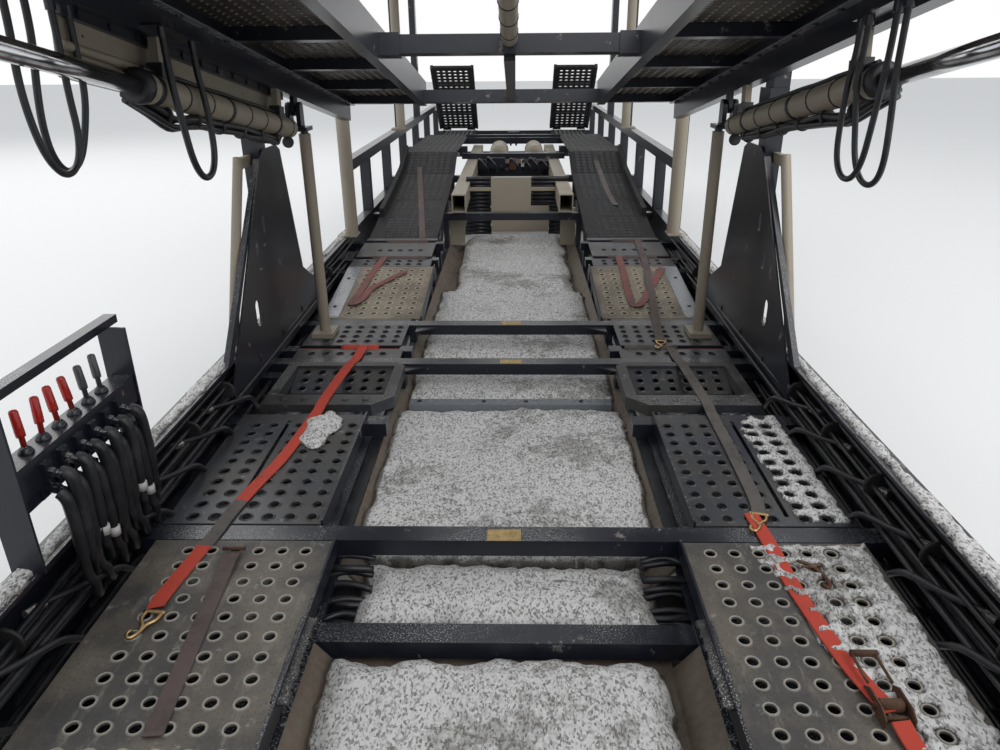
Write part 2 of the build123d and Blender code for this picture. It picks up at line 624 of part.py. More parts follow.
# Lift cylinders: station, x, foot, top, barrel and rod radius, one a side
SLIM_LIFT_X = HALF - 235
FAR_LIFT_X = HALF - 100
SLIM_LIFT = (CROSSHEAD_STATION, SLIM_LIFT_X, 610, 1680, SLIM_TUBE_R, ROD_R)
FAR_LIFT = (5.50, FAR_LIFT_X, 822, 1670, LIFT_TUBE_R, LIFT_ROD_R)
REAR_LIFT = (REAR_CROSSHEAD_STATION, FAR_LIFT_X, 1332, 2560, LIFT_TUBE_R, LIFT_ROD_R)
BARREL_FLOOR = 30
FOOT_X = (FAR_LIFT_X - 45, HALF - 5)
# Braces that lean from the side rails to the main posts: foot and head as station and height
BRACE_R = 23
BRACE_X = HALF - BRACE_R - 1
BRACE_FOOT = (3.16, RAIL_TOP)
BRACE_HEAD = (3.56, 1610)
BRACE_PAD = 50
with BuildPart() as lift_barrels:
    for at, x, foot, top, barrel_r, rod_r in (SLIM_LIFT, FAR_LIFT, REAR_LIFT):
        y = station(at)
        rod_z(x, y, (foot, top), barrel_r)
        rod_z(x, y, (foot + BARREL_FLOOR, top), rod_r + ROD_PLAY, Mode.SUBTRACT)
    block((SLIM_LIFT_X - 60, SLIM_LIFT_X + 60), (station(3.90), station(4.05)), (DECK_Z, 610))
    block(FOOT_X, (station(5.43), station(5.57)), (RAIL_TOP, 822))
    block(FOOT_X, (station(8.23), station(8.37)), (TRUSS_TOP, 1332))
    lean = Vector(0, 1000 * (BRACE_HEAD[0] - BRACE_FOOT[0]), BRACE_HEAD[1] - BRACE_FOOT[1])
    brace_foot = (BRACE_X, station(BRACE_FOOT[0]), BRACE_FOOT[1])
    brace_plane = Plane(origin=brace_foot, x_dir=(1, 0, 0), z_dir=lean.normalized())
    with BuildSketch(brace_plane) as brace_end:
        Circle(BRACE_R)
    extrude(brace_end.sketch, amount=lean.length)
    extrude(brace_end.sketch, amount=-BRACE_R)
    block((BRACE_X - BRACE_R, HALF), (station(3.0), station(3.3)), (RAIL_TOP - 60, RAIL_TOP), Mode.SUBTRACT)
    block((BRACE_X - 12, BRACE_X + 12), (station(BRACE_HEAD[0]), station(MAIN_POST) - POST_D / 2),
          (BRACE_HEAD[1] - BRACE_PAD, BRACE_HEAD[1]))
    mirror(about=Plane.YZ)
save(lift_barrels, "lift_barrels")

# Crossheads: a sleeve on the post, a saddle beside it, the pivot lugs and the lift rods
SLEEVE_H = 200
SLEEVE_T = 12
LUG_R = 34
SADDLE_DROP = 105
SADDLE_T = 20
DECK_LUG_X = (GIRDER_IN + 10, GIRDER_IN + 30)
LUG_SPANS = ((DECK_LUG_X[0] - 28, DECK_LUG_X[0] - 6), (DECK_LUG_X[1] + 6, DECK_LUG_X[1] + 28))
SADDLE_X = (SLIM_LIFT_X - 30, SLIM_LIFT_X + 105)


def crosshead(at, pin_z, post_at, lift, rod_length):
    """One crosshead on each side, joined to its lift rods."""
    y = station(at)
    z = pin_z - SADDLE_DROP
    post_y = station(post_at)
    reach = POST_D / 2 + WORKING_GAP
    inner = HALF - POST_W - WORKING_GAP
    block((inner - SLEEVE_T, inner), (post_y - reach - SLEEVE_T, post_y + reach + SLEEVE_T), (z, z + SLEEVE_H))
    for low in (post_y - reach - SLEEVE_T, post_y + reach):
        block((inner, HALF - 5), (low, low + SLEEVE_T), (z, z + SLEEVE_H))
    block(SADDLE_X, (y - 60, y + 60), (z, z + SADDLE_T))
    block((SADDLE_X[1], inner), (min(y - 60, post_y - reach), max(y + 60, post_y + reach)), (z, z + SADDLE_T))
    for span in LUG_SPANS:
        block(span, (y - LUG_R, y + LUG_R), (z + SADDLE_T, pin_z))
        rod_x(span, y, pin_z, LUG_R)
    rod_x((LUG_SPANS[0][0], LUG_SPANS[1][1]), y, pin_z, PIVOT_PIN_R)
    rod_z(lift[1], y, (z - rod_length, z), lift[5])
    mirror(about=Plane.YZ)


with BuildPart() as main_crosshead:
    crosshead(CROSSHEAD_STATION, CROSSHEAD_Z, MAIN_POST, SLIM_LIFT, 960)
save(main_crosshead, "main_crosshead")

with BuildPart() as rear_crosshead:
    crosshead(REAR_CROSSHEAD_STATION, REAR_CROSSHEAD_Z, REAR_POSTS[0], REAR_LIFT, 700)
save(rear_crosshead, "rear_crosshead")

# Rods of the far lifts, each with an eye beside the bracket of the front deck
EYE_Z = 1740
EYE_R = 38
EYE_X = (FAR_LIFT_X - 25, FAR_LIFT_X + 25)
EYE_PIN_R = 17
with BuildPart() as far_rods:
    y = station(FAR_LIFT[0])
    rod_z(FAR_LIFT[1], y, (EYE_Z - 840, EYE_Z - EYE_R + 6), LIFT_ROD_R)
    rod_x(EYE_X, y, EYE_Z, EYE_R)
    rod_x(EYE_X, y, EYE_Z, EYE_PIN_R + 1, Mode.SUBTRACT)
    mirror(about=Plane.YZ)
save(far_rods, "far_lift_rods")

# Upper decks, drawn in their own plane: y along the deck and z square to it, from the pivot pin
RAIL_ABOVE = PIVOT_ABOVE
CHANNEL_T = 8


def deck_plane(at, z, slope):
    """The plane of an upper deck through its pivot pin."""
    tilt = radians(slope)
    return Plane(origin=(0, station(at), z), x_dir=(1, 0, 0), z_dir=(0, -sin(tilt), cos(tilt)))


def deck_frame(start, end, cross_tubes):
    """Inner rails, outer girders and cross-tubes of both tracks."""
    low, high = RAIL_ABOVE, RAIL_ABOVE + UPPER_RAIL_H
    girder_low = RAIL_ABOVE - GIRDER_DROP
    y = (start, end)
    for sign in (1, -1):
        def across(a, b):
            return sorted((sign * a, sign * b))
        block(across(UPPER_IN, UPPER_IN + CHANNEL_T), y, (low, high))
        for z in (low, high - CHANNEL_T):
            block(across(UPPER_IN, UPPER_IN + UPPER_RAIL_W), y, (z, z + CHANNEL_T))
        block(across(GIRDER_IN, GIRDER_IN + CHANNEL_T), y, (girder_low, high))
        for z in (girder_low, high - CHANNEL_T):
            block(across(GIRDER_IN, GIRDER_OUT), y, (z, z + CHANNEL_T))
        for middle in cross_tubes:
            block(across(UPPER_IN + CHANNEL_T, GIRDER_IN), (middle - 25, middle + 25),
                  (low + CHANNEL_T, low + UPPER_SHEET_RISE))


def deck_bars(bars):
    """The square bars that join both tracks: place along the deck and height of each."""
    for middle, z in bars:
        block((-UPPER_IN, UPPER_IN), (middle - 39, middle + 39), (z - 39, z + 39))


def deck_lugs():
    """The lug under each girder that turns on the crosshead's pin."""
    for sign in (1, -1):
        x = sorted((sign * DECK_LUG_X[0], sign * DECK_LUG_X[1]))
        block(x, (-LUG_R, LUG_R), (0, RAIL_ABOVE - GIRDER_DROP))
        rod_x(x, 0, 0, LUG_R)
        rod_x(x, 0, 0, PIVOT_BORE_R, Mode.SUBTRACT)


def deck_tracks(start, end):
    """The two track sheets of an upper deck."""
    z = RAIL_ABOVE + UPPER_SHEET_RISE
    for sign in (1, -1):
        block(sorted((sign * (UPPER_IN + CHANNEL_T), sign * GIRDER_IN)), (start, end), (z, z + SHEET))


# Hanging hoses: name, radius and route from gland to gland
HOSE_LOOPS = (
    ("hose_loop_right_outer", 9,
     ((1036, -2656, 2153), (1036, -2656, 2085), (1030, -2669, 1985), (1042, -2664, 1872),
      (1054, -2648, 1745), (1058, -2591, 1688), (1058, -2511, 1690), (1053, -2455, 1748),
      (1042, -2443, 1860), (1027, -2440, 1975), (1035, -2440, 2055), (1035, -2440, 2117))),
    ("hose_loop_right_inner", 9,
     ((1036, -2600, 2144), (1036, -2600, 2076), (1026, -2612, 1975), (1020, -2606, 1862),
      (1017, -2592, 1752), (1016, -2536, 1697), (1016, -2458, 1699), (1018, -2402, 1756),
      (1021, -2390, 1868), (1025, -2388, 1975), (1035, -2388, 2050), (1035, -2388, 2108))),
    ("hose_loop_left_outer", 9,
     ((-1124, -2880, 2175), (-1124, -2880, 2100), (-1136, -2892, 1985), (-1146, -2890, 1885),
      (-1152, -2865, 1810), (-1155, -2808, 1765), (-1153, -2740, 1790), (-1146, -2704, 1860),
      (-1128, -2695, 1955), (-1125, -2699, 2055), (-1125, -2699, 2145))),
    ("hose_loop_left_inner", 9,
     ((-1124, -2960, 2189), (-1124, -2960, 2115), (-1129, -2970, 2000), (-1123, -2966, 1890),
      (-1118, -2941, 1812), (-1116, -2884, 1768), (-1117, -2816, 1792), (-1121, -2780, 1862),
      (-1128, -2774, 1958), (-1125, -2774, 2060), (-1125, -2774, 2158))),
    ("hose_loop_left_rear", 11,
     ((-1034, -2370, 2105), (-1034, -2370, 2045), (-1023, -2382, 1955), (-1013, -2377, 1845),
      (-1008, -2357, 1735), (-1006, -2300, 1675), (-1006, -2222, 1679), (-1010, -2166, 1738),
      (-1016, -2152, 1842), (-1023, -2154, 1935), (-1034, -2156, 2010), (-1034, -2156, 2070))),
)
GLAND_R = 13
GLAND_LENGTH = 36


def arc_radii(route):
    """The radius at each corner of a hose's route: as large as its two runs allow."""
    points = [Vector(*point) for point in route]
    radii = []
    for before, corner, after in zip(points, points[1:], points[2:]):
        arriving, leaving = corner - before, after - corner
        half_turn = radians(arriving.get_angle(leaving)) / 2
        radii.append(0.45 * min(arriving.length, leaving.length) / tan(half_turn))
    return radii


FRONT_DECK = (-4640, 1270)
BAR_A = (-441, RAIL_ABOVE + 72)
BAR_B = (1175, RAIL_ABOVE + 46)
FRONT_BARS = ((-2600, RAIL_ABOVE + 60), BAR_A, BAR_B)
front_plane = deck_plane(CROSSHEAD_STATION, CROSSHEAD_Z, FRONT_DECK_SLOPE)
EYE_BRACKET_T = 12
HOSE_PLATE_IN = GIRDER_IN - 62
HOSE_PLATE_Z = 70
HOSE_PLATE_T = 8
# Plates on the girders that the hanging hoses leave from: side, first and last place along the deck
HOSE_PLATES = ((1, -1900, -1575), (-1, -1615, -1335))
with BuildPart(front_plane) as front_platform_frame:
    deck_frame(*FRONT_DECK, (-4400, -3700, -3000, -2300, -1600, -900, -200, 500, 1200))
    deck_lugs()
    for sign in (1, -1):
        stub = sorted((sign * 480, sign * UPPER_IN))
        block(stub, (BAR_A[0] - 48, BAR_A[0] + 48), (BAR_A[1] - 46, BAR_A[1] + 46))
        bracket_out = GIRDER_OUT + EYE_BRACKET_T
        block(sorted((sign * GIRDER_OUT, sign * bracket_out)), (1180, 1545), (150, 232))
        block(sorted((sign * (GIRDER_IN + CHANNEL_T), sign * GIRDER_OUT)), (1180, FRONT_DECK[1]), (150, 232))
        rod_x(sorted((sign * bracket_out, sign * (bracket_out + 15))), 1509, 192, EYE_PIN_R)
    for sign, start, end in HOSE_PLATES:
        plate = sorted((sign * HOSE_PLATE_IN, sign * GIRDER_IN))
        block(plate, (start, end), (HOSE_PLATE_Z, HOSE_PLATE_Z + HOSE_PLATE_T))
    for name, radius, route in HOSE_LOOPS:
        for x, y, z in (route[0], route[-1]):
            with Locations(front_plane.location.inverse() * Location((x, y, z + GLAND_LENGTH / 2))):
                Cylinder(GLAND_R, GLAND_LENGTH)
save(front_platform_frame, "front_platform_frame")

# Bars between the two tracks, and the tie between the rear pair
with BuildPart(front_plane) as front_platform_bars:
    deck_bars(FRONT_BARS[:1])
    rod_x((-UPPER_IN, UPPER_IN), -4600, RAIL_ABOVE + 70, 30)
    block((-480, 480), (BAR_A[0] - 39, BAR_A[0] + 39), (BAR_A[1] - 39, BAR_A[1] + 39))
    deck_bars(FRONT_BARS[2:])
    block((-26, 26), (BAR_A[0] + 39, BAR_B[0] - 39), (RAIL_ABOVE + 10, RAIL_ABOVE + 50))
save(front_platform_bars, "front_platform_bars")

with BuildPart(front_plane) as front_platform_tracks:
    deck_tracks(*FRONT_DECK)
save(front_platform_tracks, "front_platform_tracks")

SIDE_CYLINDER_X = GIRDER_IN + 10
SIDE_CYLINDER_Z = -104
with BuildPart(front_plane) as front_platform_cylinders:
    rod_y(0, (-2561, -480), RAIL_ABOVE + 92, 36)
    for sign in (1, -1):
        x = sign * SIDE_CYLINDER_X
        rod_y(x, (-1650, -150), SIDE_CYLINDER_Z, 46)
        rod_y(x, (-2450, -1650), SIDE_CYLINDER_Z, 26)
        block((x - 30, x + 30), (-2510, -2450), (SIDE_CYLINDER_Z - 35, RAIL_ABOVE - GIRDER_DROP))
        for at in (-1500, -320):
            block((x - 14, x + 14), (at - 30, at + 30), (SIDE_CYLINDER_Z, RAIL_ABOVE - GIRDER_DROP))
save(front_platform_cylinders, "front_platform_cylinders")

with BuildPart(front_plane) as front_platform_skirt:
    block((-GIRDER_OUT - SHEET, -GIRDER_OUT), (-1960, -110), (-120, RAIL_ABOVE - GIRDER_DROP + CHANNEL_T))
save(front_platform_skirt, "front_platform_skirt")

REAR_DECK = (-2830, 2900)
REAR_BARS = ((-2760, RAIL_ABOVE + 60), (-950, RAIL_ABOVE + 60), (950, RAIL_ABOVE + 60), (2830, RAIL_ABOVE + 60))
rear_plane = deck_plane(REAR_CROSSHEAD_STATION, REAR_CROSSHEAD_Z, REAR_DECK_SLOPE)
with BuildPart(rear_plane) as rear_platform_frame:
    deck_frame(*REAR_DECK, (-2700, -2000, -1300, -600, 600, 1300, 2000, 2700))
    deck_lugs()
save(rear_platform_frame, "rear_platform_frame")

with BuildPart(rear_plane) as rear_platform_bars:
    deck_bars(REAR_BARS)
save(rear_platform_bars, "rear_platform_bars")

with BuildPart(rear_plane) as rear_platform_tracks:
    deck_tracks(*REAR_DECK)
save(rear_platform_tracks, "rear_platform_tracks")

# Upper neck deck, carried by cross-tubes between the front posts
NECK_DECK_Z = 2475
NECK_PLANE = Plane(origin=(0, station(-3.2), NECK_DECK_Z), x_dir=(1, 0, 0), z_dir=(0, 0, 1))
NECK_DECK = (0, 2220)
with BuildPart(NECK_PLANE) as upper_neck_frame:
    deck_frame(*NECK_DECK, (150, 700, 1250, 1800))
    deck_bars(((60, RAIL_ABOVE + 60), (2150, RAIL_ABOVE + 60)))
    for sign in (1, -1):
        for middle in (100, 2130):
            block(sorted((sign * GIRDER_OUT, sign * (HALF - POST_W))), (middle - 35, middle + 35), (60, 130))
        block(sorted((sign * (HALF - POST_W - 12), sign * (HALF - POST_W))), (2095, 2540), (60, 130))
save(upper_neck_frame, "upper_neck_frame")

with BuildPart(NECK_PLANE) as upper_neck_tracks:
    deck_tracks(*NECK_DECK)
save(upper_neck_tracks, "upper_neck_tracks")

# Tail ramps, folded forward over the tail: y runs from the hinge to the tip
RAMP_LEAN = 141
RAMP_HINGE_Z = 940
RAMP_X = (575, HALF - 100)
RAMP_RAIL = 40
RAMP_HALF_T = 30
RAMP_LENGTH = 1500
RAMP_PIN_R = 12
RAMP_KNUCKLES = ((640, 740), (HALF - 265, HALF - 165))
KNUCKLE_GAP = 2
LUG_T = 12
LAMP_X = (HALF - 245, HALF - 145)
BUMPER_OUT = HALF - 145
ramp_plane = deck_plane(TAIL_HINGE, RAMP_HINGE_Z, RAMP_LEAN)
for side, ramp_name in ((1, "tail_ramp_left"), (-1, "tail_ramp_right")):
    with BuildPart(ramp_plane) as ramp:
        def outward(a, b):
            return sorted((side * a, side * b))
        y = (40, RAMP_LENGTH)
        block(outward(RAMP_X[0], RAMP_X[0] + RAMP_RAIL), y, (-RAMP_HALF_T, RAMP_HALF_T))
        block(outward(RAMP_X[1] - RAMP_RAIL, RAMP_X[1]), y, (-RAMP_HALF_T, RAMP_HALF_T))
        block(outward(RAMP_X[0] + RAMP_RAIL, RAMP_X[1] - RAMP_RAIL), y, (14, 20))
        for at in (40, 400, 760, 1120, RAMP_LENGTH - 40):
            block(outward(RAMP_X[0] + RAMP_RAIL, RAMP_X[1] - RAMP_RAIL), (at, at + 40), (-20, 14))
        for span in RAMP_KNUCKLES:
            block(outward(*span), (0, 40), (-10, 10))
            rod_x(outward(*span), 0, 0, 20)
            rod_x(outward(*span), 0, 0, RAMP_PIN_R + ROD_PLAY, Mode.SUBTRACT)
    save(ramp, ramp_name)

# Tail: cross-tube, ramp hinge lugs, bumper and its arms
with BuildPart() as tail_frame:
    hinge_y = station(TAIL_HINGE)
    tail_y = (station(TRUSS_END) - TRUSS_W, station(TRUSS_END))
    block((-TRUSS_IN, TRUSS_IN), tail_y, (TAIL_RAIL_TOP - TRUSS_W, TAIL_RAIL_TOP))
    block((-BUMPER_OUT, BUMPER_OUT), (REAR - 100, REAR), (480, 560))
    for sign in (1, -1):
        side_prism(sorted((sign * 900, sign * 930)),
                   [(tail_y[0], 710), (tail_y[1], 710), (REAR - 60, 560), (REAR, 560),
                    (REAR, 480), (REAR - 90, 480), (tail_y[0], 640)])
        for low, high in RAMP_KNUCKLES:
            pin = (low - KNUCKLE_GAP - LUG_T, high + KNUCKLE_GAP + LUG_T)
            for lug in ((pin[0], pin[0] + LUG_T), (pin[1] - LUG_T, pin[1])):
                span = sorted((sign * lug[0], sign * lug[1]))
                block(span, (tail_y[1], hinge_y), (RAMP_HINGE_Z - 80, RAMP_HINGE_Z + 14))
                rod_x(span, hinge_y, RAMP_HINGE_Z, 14)
            rod_x(sorted((sign * pin[0], sign * pin[1])), hinge_y, RAMP_HINGE_Z, RAMP_PIN_R)
save(tail_frame, "tail_frame")

with BuildPart() as tail_lamps:
    for sign in (1, -1):
        for x in LAMP_X:
            rod_y(sign * x, (station(TRUSS_END), station(TRUSS_END) + 10), TAIL_RAIL_TOP - 40, 32)
save(tail_lamps, "tail_lamps")

with BuildPart() as side_lamps:
    for at in (0.2, 2.4, 4.7, 7.0):
        for sign in (1, -1):
            block(sorted((sign * HALF, sign * (HALF + 8))), (station(at) - 35, station(at) + 35), (720, 750))
    for at in (10.5, 12.2):
        for sign in (1, -1):
            block(sorted((sign * HALF, sign * (HALF + 8))), (station(at) - 35, station(at) + 35), (735, 765))
save(side_lamps, "side_lamps")

with BuildPart() as mudflaps:
    y = station(9.95) - BEAM_W / 2
    block((770, TRUSS_IN), (y - 8, y), (180, 1050))
    mirror(about=Plane.YZ)
save(mudflaps, "mudflaps")

# Valve bank on the right side rail: two folded uprights, a top bar and the valve block
BANK_Y = (station(1.55), station(2.17))
with BuildPart() as valve_bank:
    for y in BANK_Y:
        block((-HALF + 5, -HALF + 95), (y, y + 8), (RAIL_TOP, 1270))
        block((-HALF + 5, -HALF + 13), (y, y + 60), (RAIL_TOP, 1270))
    block((-HALF + 5, -HALF + 45), (BANK_Y[0], BANK_Y[1] + 60), (1270, 1296))
    block((-HALF + 20, -HALF + 90), (BANK_Y[0] + 8, BANK_Y[1]), (1020, 1110))
    block((-HALF + 30, -HALF + 80), (BANK_Y[0] + 8, BANK_Y[1]), (980, 1020))
save(valve_bank, "valve_bank")

with BuildPart() as valve_levers:
    for index in range(6):
        y = BANK_Y[0] + 110 + 76 * index
        rod_z(-HALF + 55, y, (1110, 1160), 7)
        rod_z(-HALF + 55, y, (1160, 1235), 13)
save(valve_levers, "valve_levers")

# Hoses that lie along the side rails on the ends of the cross-members: how far in from the side, and the row
HOSE_R = 11
HOSES = ((57, 0), (35, 0), (46, 1), (24, 1))
HOSE_ROW_RISE = 19.1
with BuildPart() as hose_runs:
    for inset, row in HOSES:
        height = DECK_Z + HOSE_R + row * HOSE_ROW_RISE
        rod_y(HALF - inset, (station(WELL_FRONT) + 60, station(4.90)), height, HOSE_R)
    mirror(about=Plane.YZ)
save(hose_runs, "hose_runs")

# Hydraulic hoses that hang in loops under the front deck
for name, radius, route in HOSE_LOOPS:
    radii = arc_radii(route)
    print(name, "arc radii", [round(r) for r in radii])
    with BuildPart() as hose_loop:
        with BuildLine() as route_line:
            FilletPolyline(*route, radius=radii)
        with BuildSketch(Plane(origin=route_line.line @ 0, z_dir=route_line.line % 0)):
            Circle(radius)
        sweep()
    save(hose_loop, name)
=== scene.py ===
"""Dresses a double-deck car-carrying semi-trailer: worn paint, perforated plates, straps, hoses, bolts and slush.

Metres. +Y is the trailer's rear, +X its left and z 0 the ground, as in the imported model.
"""
import json
from math import cos, pi, radians, sin

import bmesh
import bpy
from mathutils import Matrix, Vector, noise
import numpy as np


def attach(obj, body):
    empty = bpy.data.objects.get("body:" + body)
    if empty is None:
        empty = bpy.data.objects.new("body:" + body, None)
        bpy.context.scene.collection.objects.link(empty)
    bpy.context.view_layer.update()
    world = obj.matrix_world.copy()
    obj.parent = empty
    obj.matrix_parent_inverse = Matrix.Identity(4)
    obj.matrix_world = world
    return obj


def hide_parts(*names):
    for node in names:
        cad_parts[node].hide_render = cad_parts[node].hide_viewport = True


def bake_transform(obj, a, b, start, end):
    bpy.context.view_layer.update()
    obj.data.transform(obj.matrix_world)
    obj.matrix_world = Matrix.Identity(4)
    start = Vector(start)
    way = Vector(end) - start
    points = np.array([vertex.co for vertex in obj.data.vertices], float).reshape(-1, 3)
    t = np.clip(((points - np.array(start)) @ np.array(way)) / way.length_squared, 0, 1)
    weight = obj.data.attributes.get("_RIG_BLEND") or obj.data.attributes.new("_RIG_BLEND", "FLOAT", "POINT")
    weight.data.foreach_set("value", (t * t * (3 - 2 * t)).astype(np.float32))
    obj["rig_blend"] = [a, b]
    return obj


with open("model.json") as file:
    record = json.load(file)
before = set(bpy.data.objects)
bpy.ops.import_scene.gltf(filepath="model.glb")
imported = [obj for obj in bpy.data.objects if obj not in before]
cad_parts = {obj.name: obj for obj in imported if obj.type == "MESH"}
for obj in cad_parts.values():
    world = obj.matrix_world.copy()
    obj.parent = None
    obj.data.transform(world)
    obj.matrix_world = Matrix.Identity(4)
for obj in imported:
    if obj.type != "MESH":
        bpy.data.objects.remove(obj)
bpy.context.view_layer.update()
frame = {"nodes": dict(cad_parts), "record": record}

bl_info = {
    "name": "Car Transporter Semi-Trailer",
    "version": (1, 0, 0),
    "blender": (4, 5, 0),
    "location": "View3D > Sidebar > Trailer",
    "description": "Finishes and fittings of a double-deck car-carrying semi-trailer",
    "category": "Object",
}

NODES = frame["nodes"]

# Stations are metres behind the loading viewpoint over the front third of the deck
STATION_ZERO = -4.8

# The photograph's viewpoint: its place, its angles below level, to the left and of roll, and the lens in millimetres
EYE = Vector((0.0267, -4.8, 2.05))
EYE_PITCH = 23.41
EYE_YAW = 1.29
EYE_ROLL = -0.47
LENS = 26.71

# Height of the lower deck and of the tracks over the axles, by station
DECK_LINE = ((-4.0, 0.585), (4.28, 0.585), (5.06, 0.677), (5.85, 0.705), (6.36, 0.774), (6.82, 0.829), (7.62, 0.947),
             (8.09, 1.105), (10.34, 1.065), (10.9, 0.920), (12.56, 0.920))
BENDS = [at for at, height in DECK_LINE]

# Thickness of the pressed plates, depth of their folded lips, and height of the belly pan
SHEET = 0.006
LIP_DEPTH = 0.040
PAN_Z = 0.385

# Upper decks: station and height of the pivot pin, slope in degrees, first and last place along the deck
FRONT_DECK = (3.98, 1.800, -9.5, -4.64, 1.27)
REAR_DECK = (8.30, 2.690, 1.5, -2.83, 2.90)
NECK_DECK = (-3.20, 2.475, 0.0, 0.0, 2.22)
# Track sheets of the upper decks: inner and outer edge, and how far above the pin
UPPER_SHEET = (0.575, 1.080, 0.205)

LEFT, RIGHT = 1, -1


def station(metres):
    """The lengthwise place of a station."""
    return STATION_ZERO + metres


def deck_height(at):
    """Height of the lower deck or track at a station."""
    for (s0, z0), (s1, z1) in zip(DECK_LINE, DECK_LINE[1:]):
        if at <= s1:
            return z0 + (z1 - z0) * (at - s0) / (s1 - s0)
    return DECK_LINE[-1][1]


def on_lower_deck(side):
    """Places a point given by its distance from the middle, its station and its height above the deck."""
    return lambda u, v, w: Vector((side * u, station(v), deck_height(v) + w))


def on_upper_deck(deck, side):
    """Places a point given across, along and square to an upper deck."""
    at, height, slope = deck[:3]
    tilt = radians(slope)
    return lambda u, v, w: Vector((side * u, station(at) + v * cos(tilt) - w * sin(tilt),
                                   height + v * sin(tilt) + w * cos(tilt)))


class TrailerSizes(bpy.types.PropertyGroup):
    """Sizes of the fittings."""

    hole_radius: bpy.props.FloatProperty(
        name="Hole Radius", description="Radius of the lower deck's holes", default=0.016,
        min=0.006, max=0.025, unit="LENGTH")
    collar_rise: bpy.props.FloatProperty(
        name="Collar Rise", description="How far the pressed collar round a hole stands up", default=0.004,
        min=0.0, max=0.01, unit="LENGTH")
    strap_width: bpy.props.FloatProperty(
        name="Strap Width", description="Width of the tie-down webbing", default=0.050,
        min=0.025, max=0.1, unit="LENGTH")
    slush_depth: bpy.props.FloatProperty(
        name="Slush Depth", description="Depth of the frozen slush on the belly pan", default=0.085,
        min=0.01, max=0.15, unit="LENGTH")


class TrailerColours(bpy.types.PropertyGroup):
    """Colours of the finishes, as they are in plain light."""

    black: bpy.props.FloatVectorProperty(
        name="Black Paint", description="Gloss blue-black of the frame", default=(0.012, 0.014, 0.022),
        subtype="COLOR", size=3, min=0.0, max=1.0)
    beige: bpy.props.FloatVectorProperty(
        name="Beige Paint", description="Beige-grey of the pans and cylinders", default=(0.30, 0.26, 0.20),
        subtype="COLOR", size=3, min=0.0, max=1.0)
    strap: bpy.props.FloatVectorProperty(
        name="Strap", description="Orange-red of the newest webbing", default=(0.52, 0.055, 0.030),
        subtype="COLOR", size=3, min=0.0, max=1.0)


# Materials by name
FINISHES = {}


class Socket:
    """A value in a shader tree: arithmetic on it adds Math nodes."""

    def __init__(self, finish, link):
        self.finish = finish
        self.link = link

    def maths(self, operation, *values, clamp=False):
        settings = {"operation": operation, "use_clamp": clamp}
        return self.finish.node("ShaderNodeMath", settings, dict(enumerate(values)))

    def __add__(self, other):
        return self.maths("ADD", self, other)

    def __radd__(self, other):
        return self.maths("ADD", other, self)

    def __sub__(self, other):
        return self.maths("SUBTRACT", self, other)

    def __rsub__(self, other):
        return self.maths("SUBTRACT", other, self)

    def __mul__(self, other):
        return self.maths("MULTIPLY", self, other)

    def __rmul__(self, other):
        return self.maths("MULTIPLY", other, self)

    def clamped(self):
        return self.maths("ADD", self, 0.0, clamp=True)

    def ramped(self, low, high):
        """0 below low, 1 above high and smooth between."""
        settings = {"interpolation_type": "SMOOTHSTEP"}
        return self.finish.node("ShaderNodeMapRange", settings, {"Value": self, "From Min": low, "From Max": high})


class Finish:
    """A material and the nodes that make it."""

    def __init__(self, name):
        material = FINISHES[name] = bpy.data.materials.new(name)
        material.use_nodes = True
        self.tree = material.node_tree
        self.tree.nodes.clear()
        self.shader = self.tree.nodes.new("ShaderNodeBsdfPrincipled")
        output = self.tree.nodes.new("ShaderNodeOutputMaterial")
        self.tree.links.new(self.shader.outputs[0], output.inputs["Surface"])
        self.place = self.node("ShaderNodeTexCoord", output="Object")
        self.facing = self.node("ShaderNodeTexCoord", output="Normal")

    def node(self, kind, settings=None, sockets=None, output=0):
        """Adds a node: its settings first, then the values or links of its sockets."""
        made = self.tree.nodes.new(kind)
        for name, value in (settings or {}).items():
            setattr(made, name, value)
        for name, value in (sockets or {}).items():
            if isinstance(value, Socket):
                self.tree.links.new(value.link, made.inputs[name])
            else:
                made.inputs[name].default_value = value
        return Socket(self, made.outputs[output])

    def split(self, vector):
        """The x, y and z of a vector."""
        return [self.node("ShaderNodeSeparateXYZ", sockets={0: vector}, output=axis) for axis in "XYZ"]

    def noise(self, scale, detail=3.0, roughness=0.55, stretch=None):
        """Noise in object space, with the number of features in a metre."""
        place = self.place
        if stretch:
            place = self.node("ShaderNodeVectorMath", {"operation": "MULTIPLY"}, {0: place, 1: stretch})
        return self.node("ShaderNodeTexNoise", None,
                         {"Vector": place, "Scale": scale, "Detail": detail, "Roughness": roughness})

    def mix(self, factor, first, second):
        """One colour into another."""
        colours = {6: first, 7: second}
        for key, value in colours.items():
            if not isinstance(value, Socket):
                colours[key] = (*value, 1.0)
        return self.node("ShaderNodeMix", {"data_type": "RGBA"}, {0: factor, **colours}, output=2)

    def set(self, **values):
        """Sets or links the shader's sockets: underscores stand for spaces."""
        for name, value in values.items():
            socket = self.shader.inputs[name.replace("_", " ")]
            if isinstance(value, Socket):
                self.tree.links.new(value.link, socket)
            elif name.endswith("Color"):
                socket.default_value = (*value, 1.0)
            else:
                socket.default_value = value

    def bump(self, height, distance, strength=1.0):
        """A Bump node from a height of 0 to 1, in metres at 1."""
        normal = self.node("ShaderNodeBump", None, {"Height": height, "Distance": distance, "Strength": strength})
        self.set(Normal=normal)


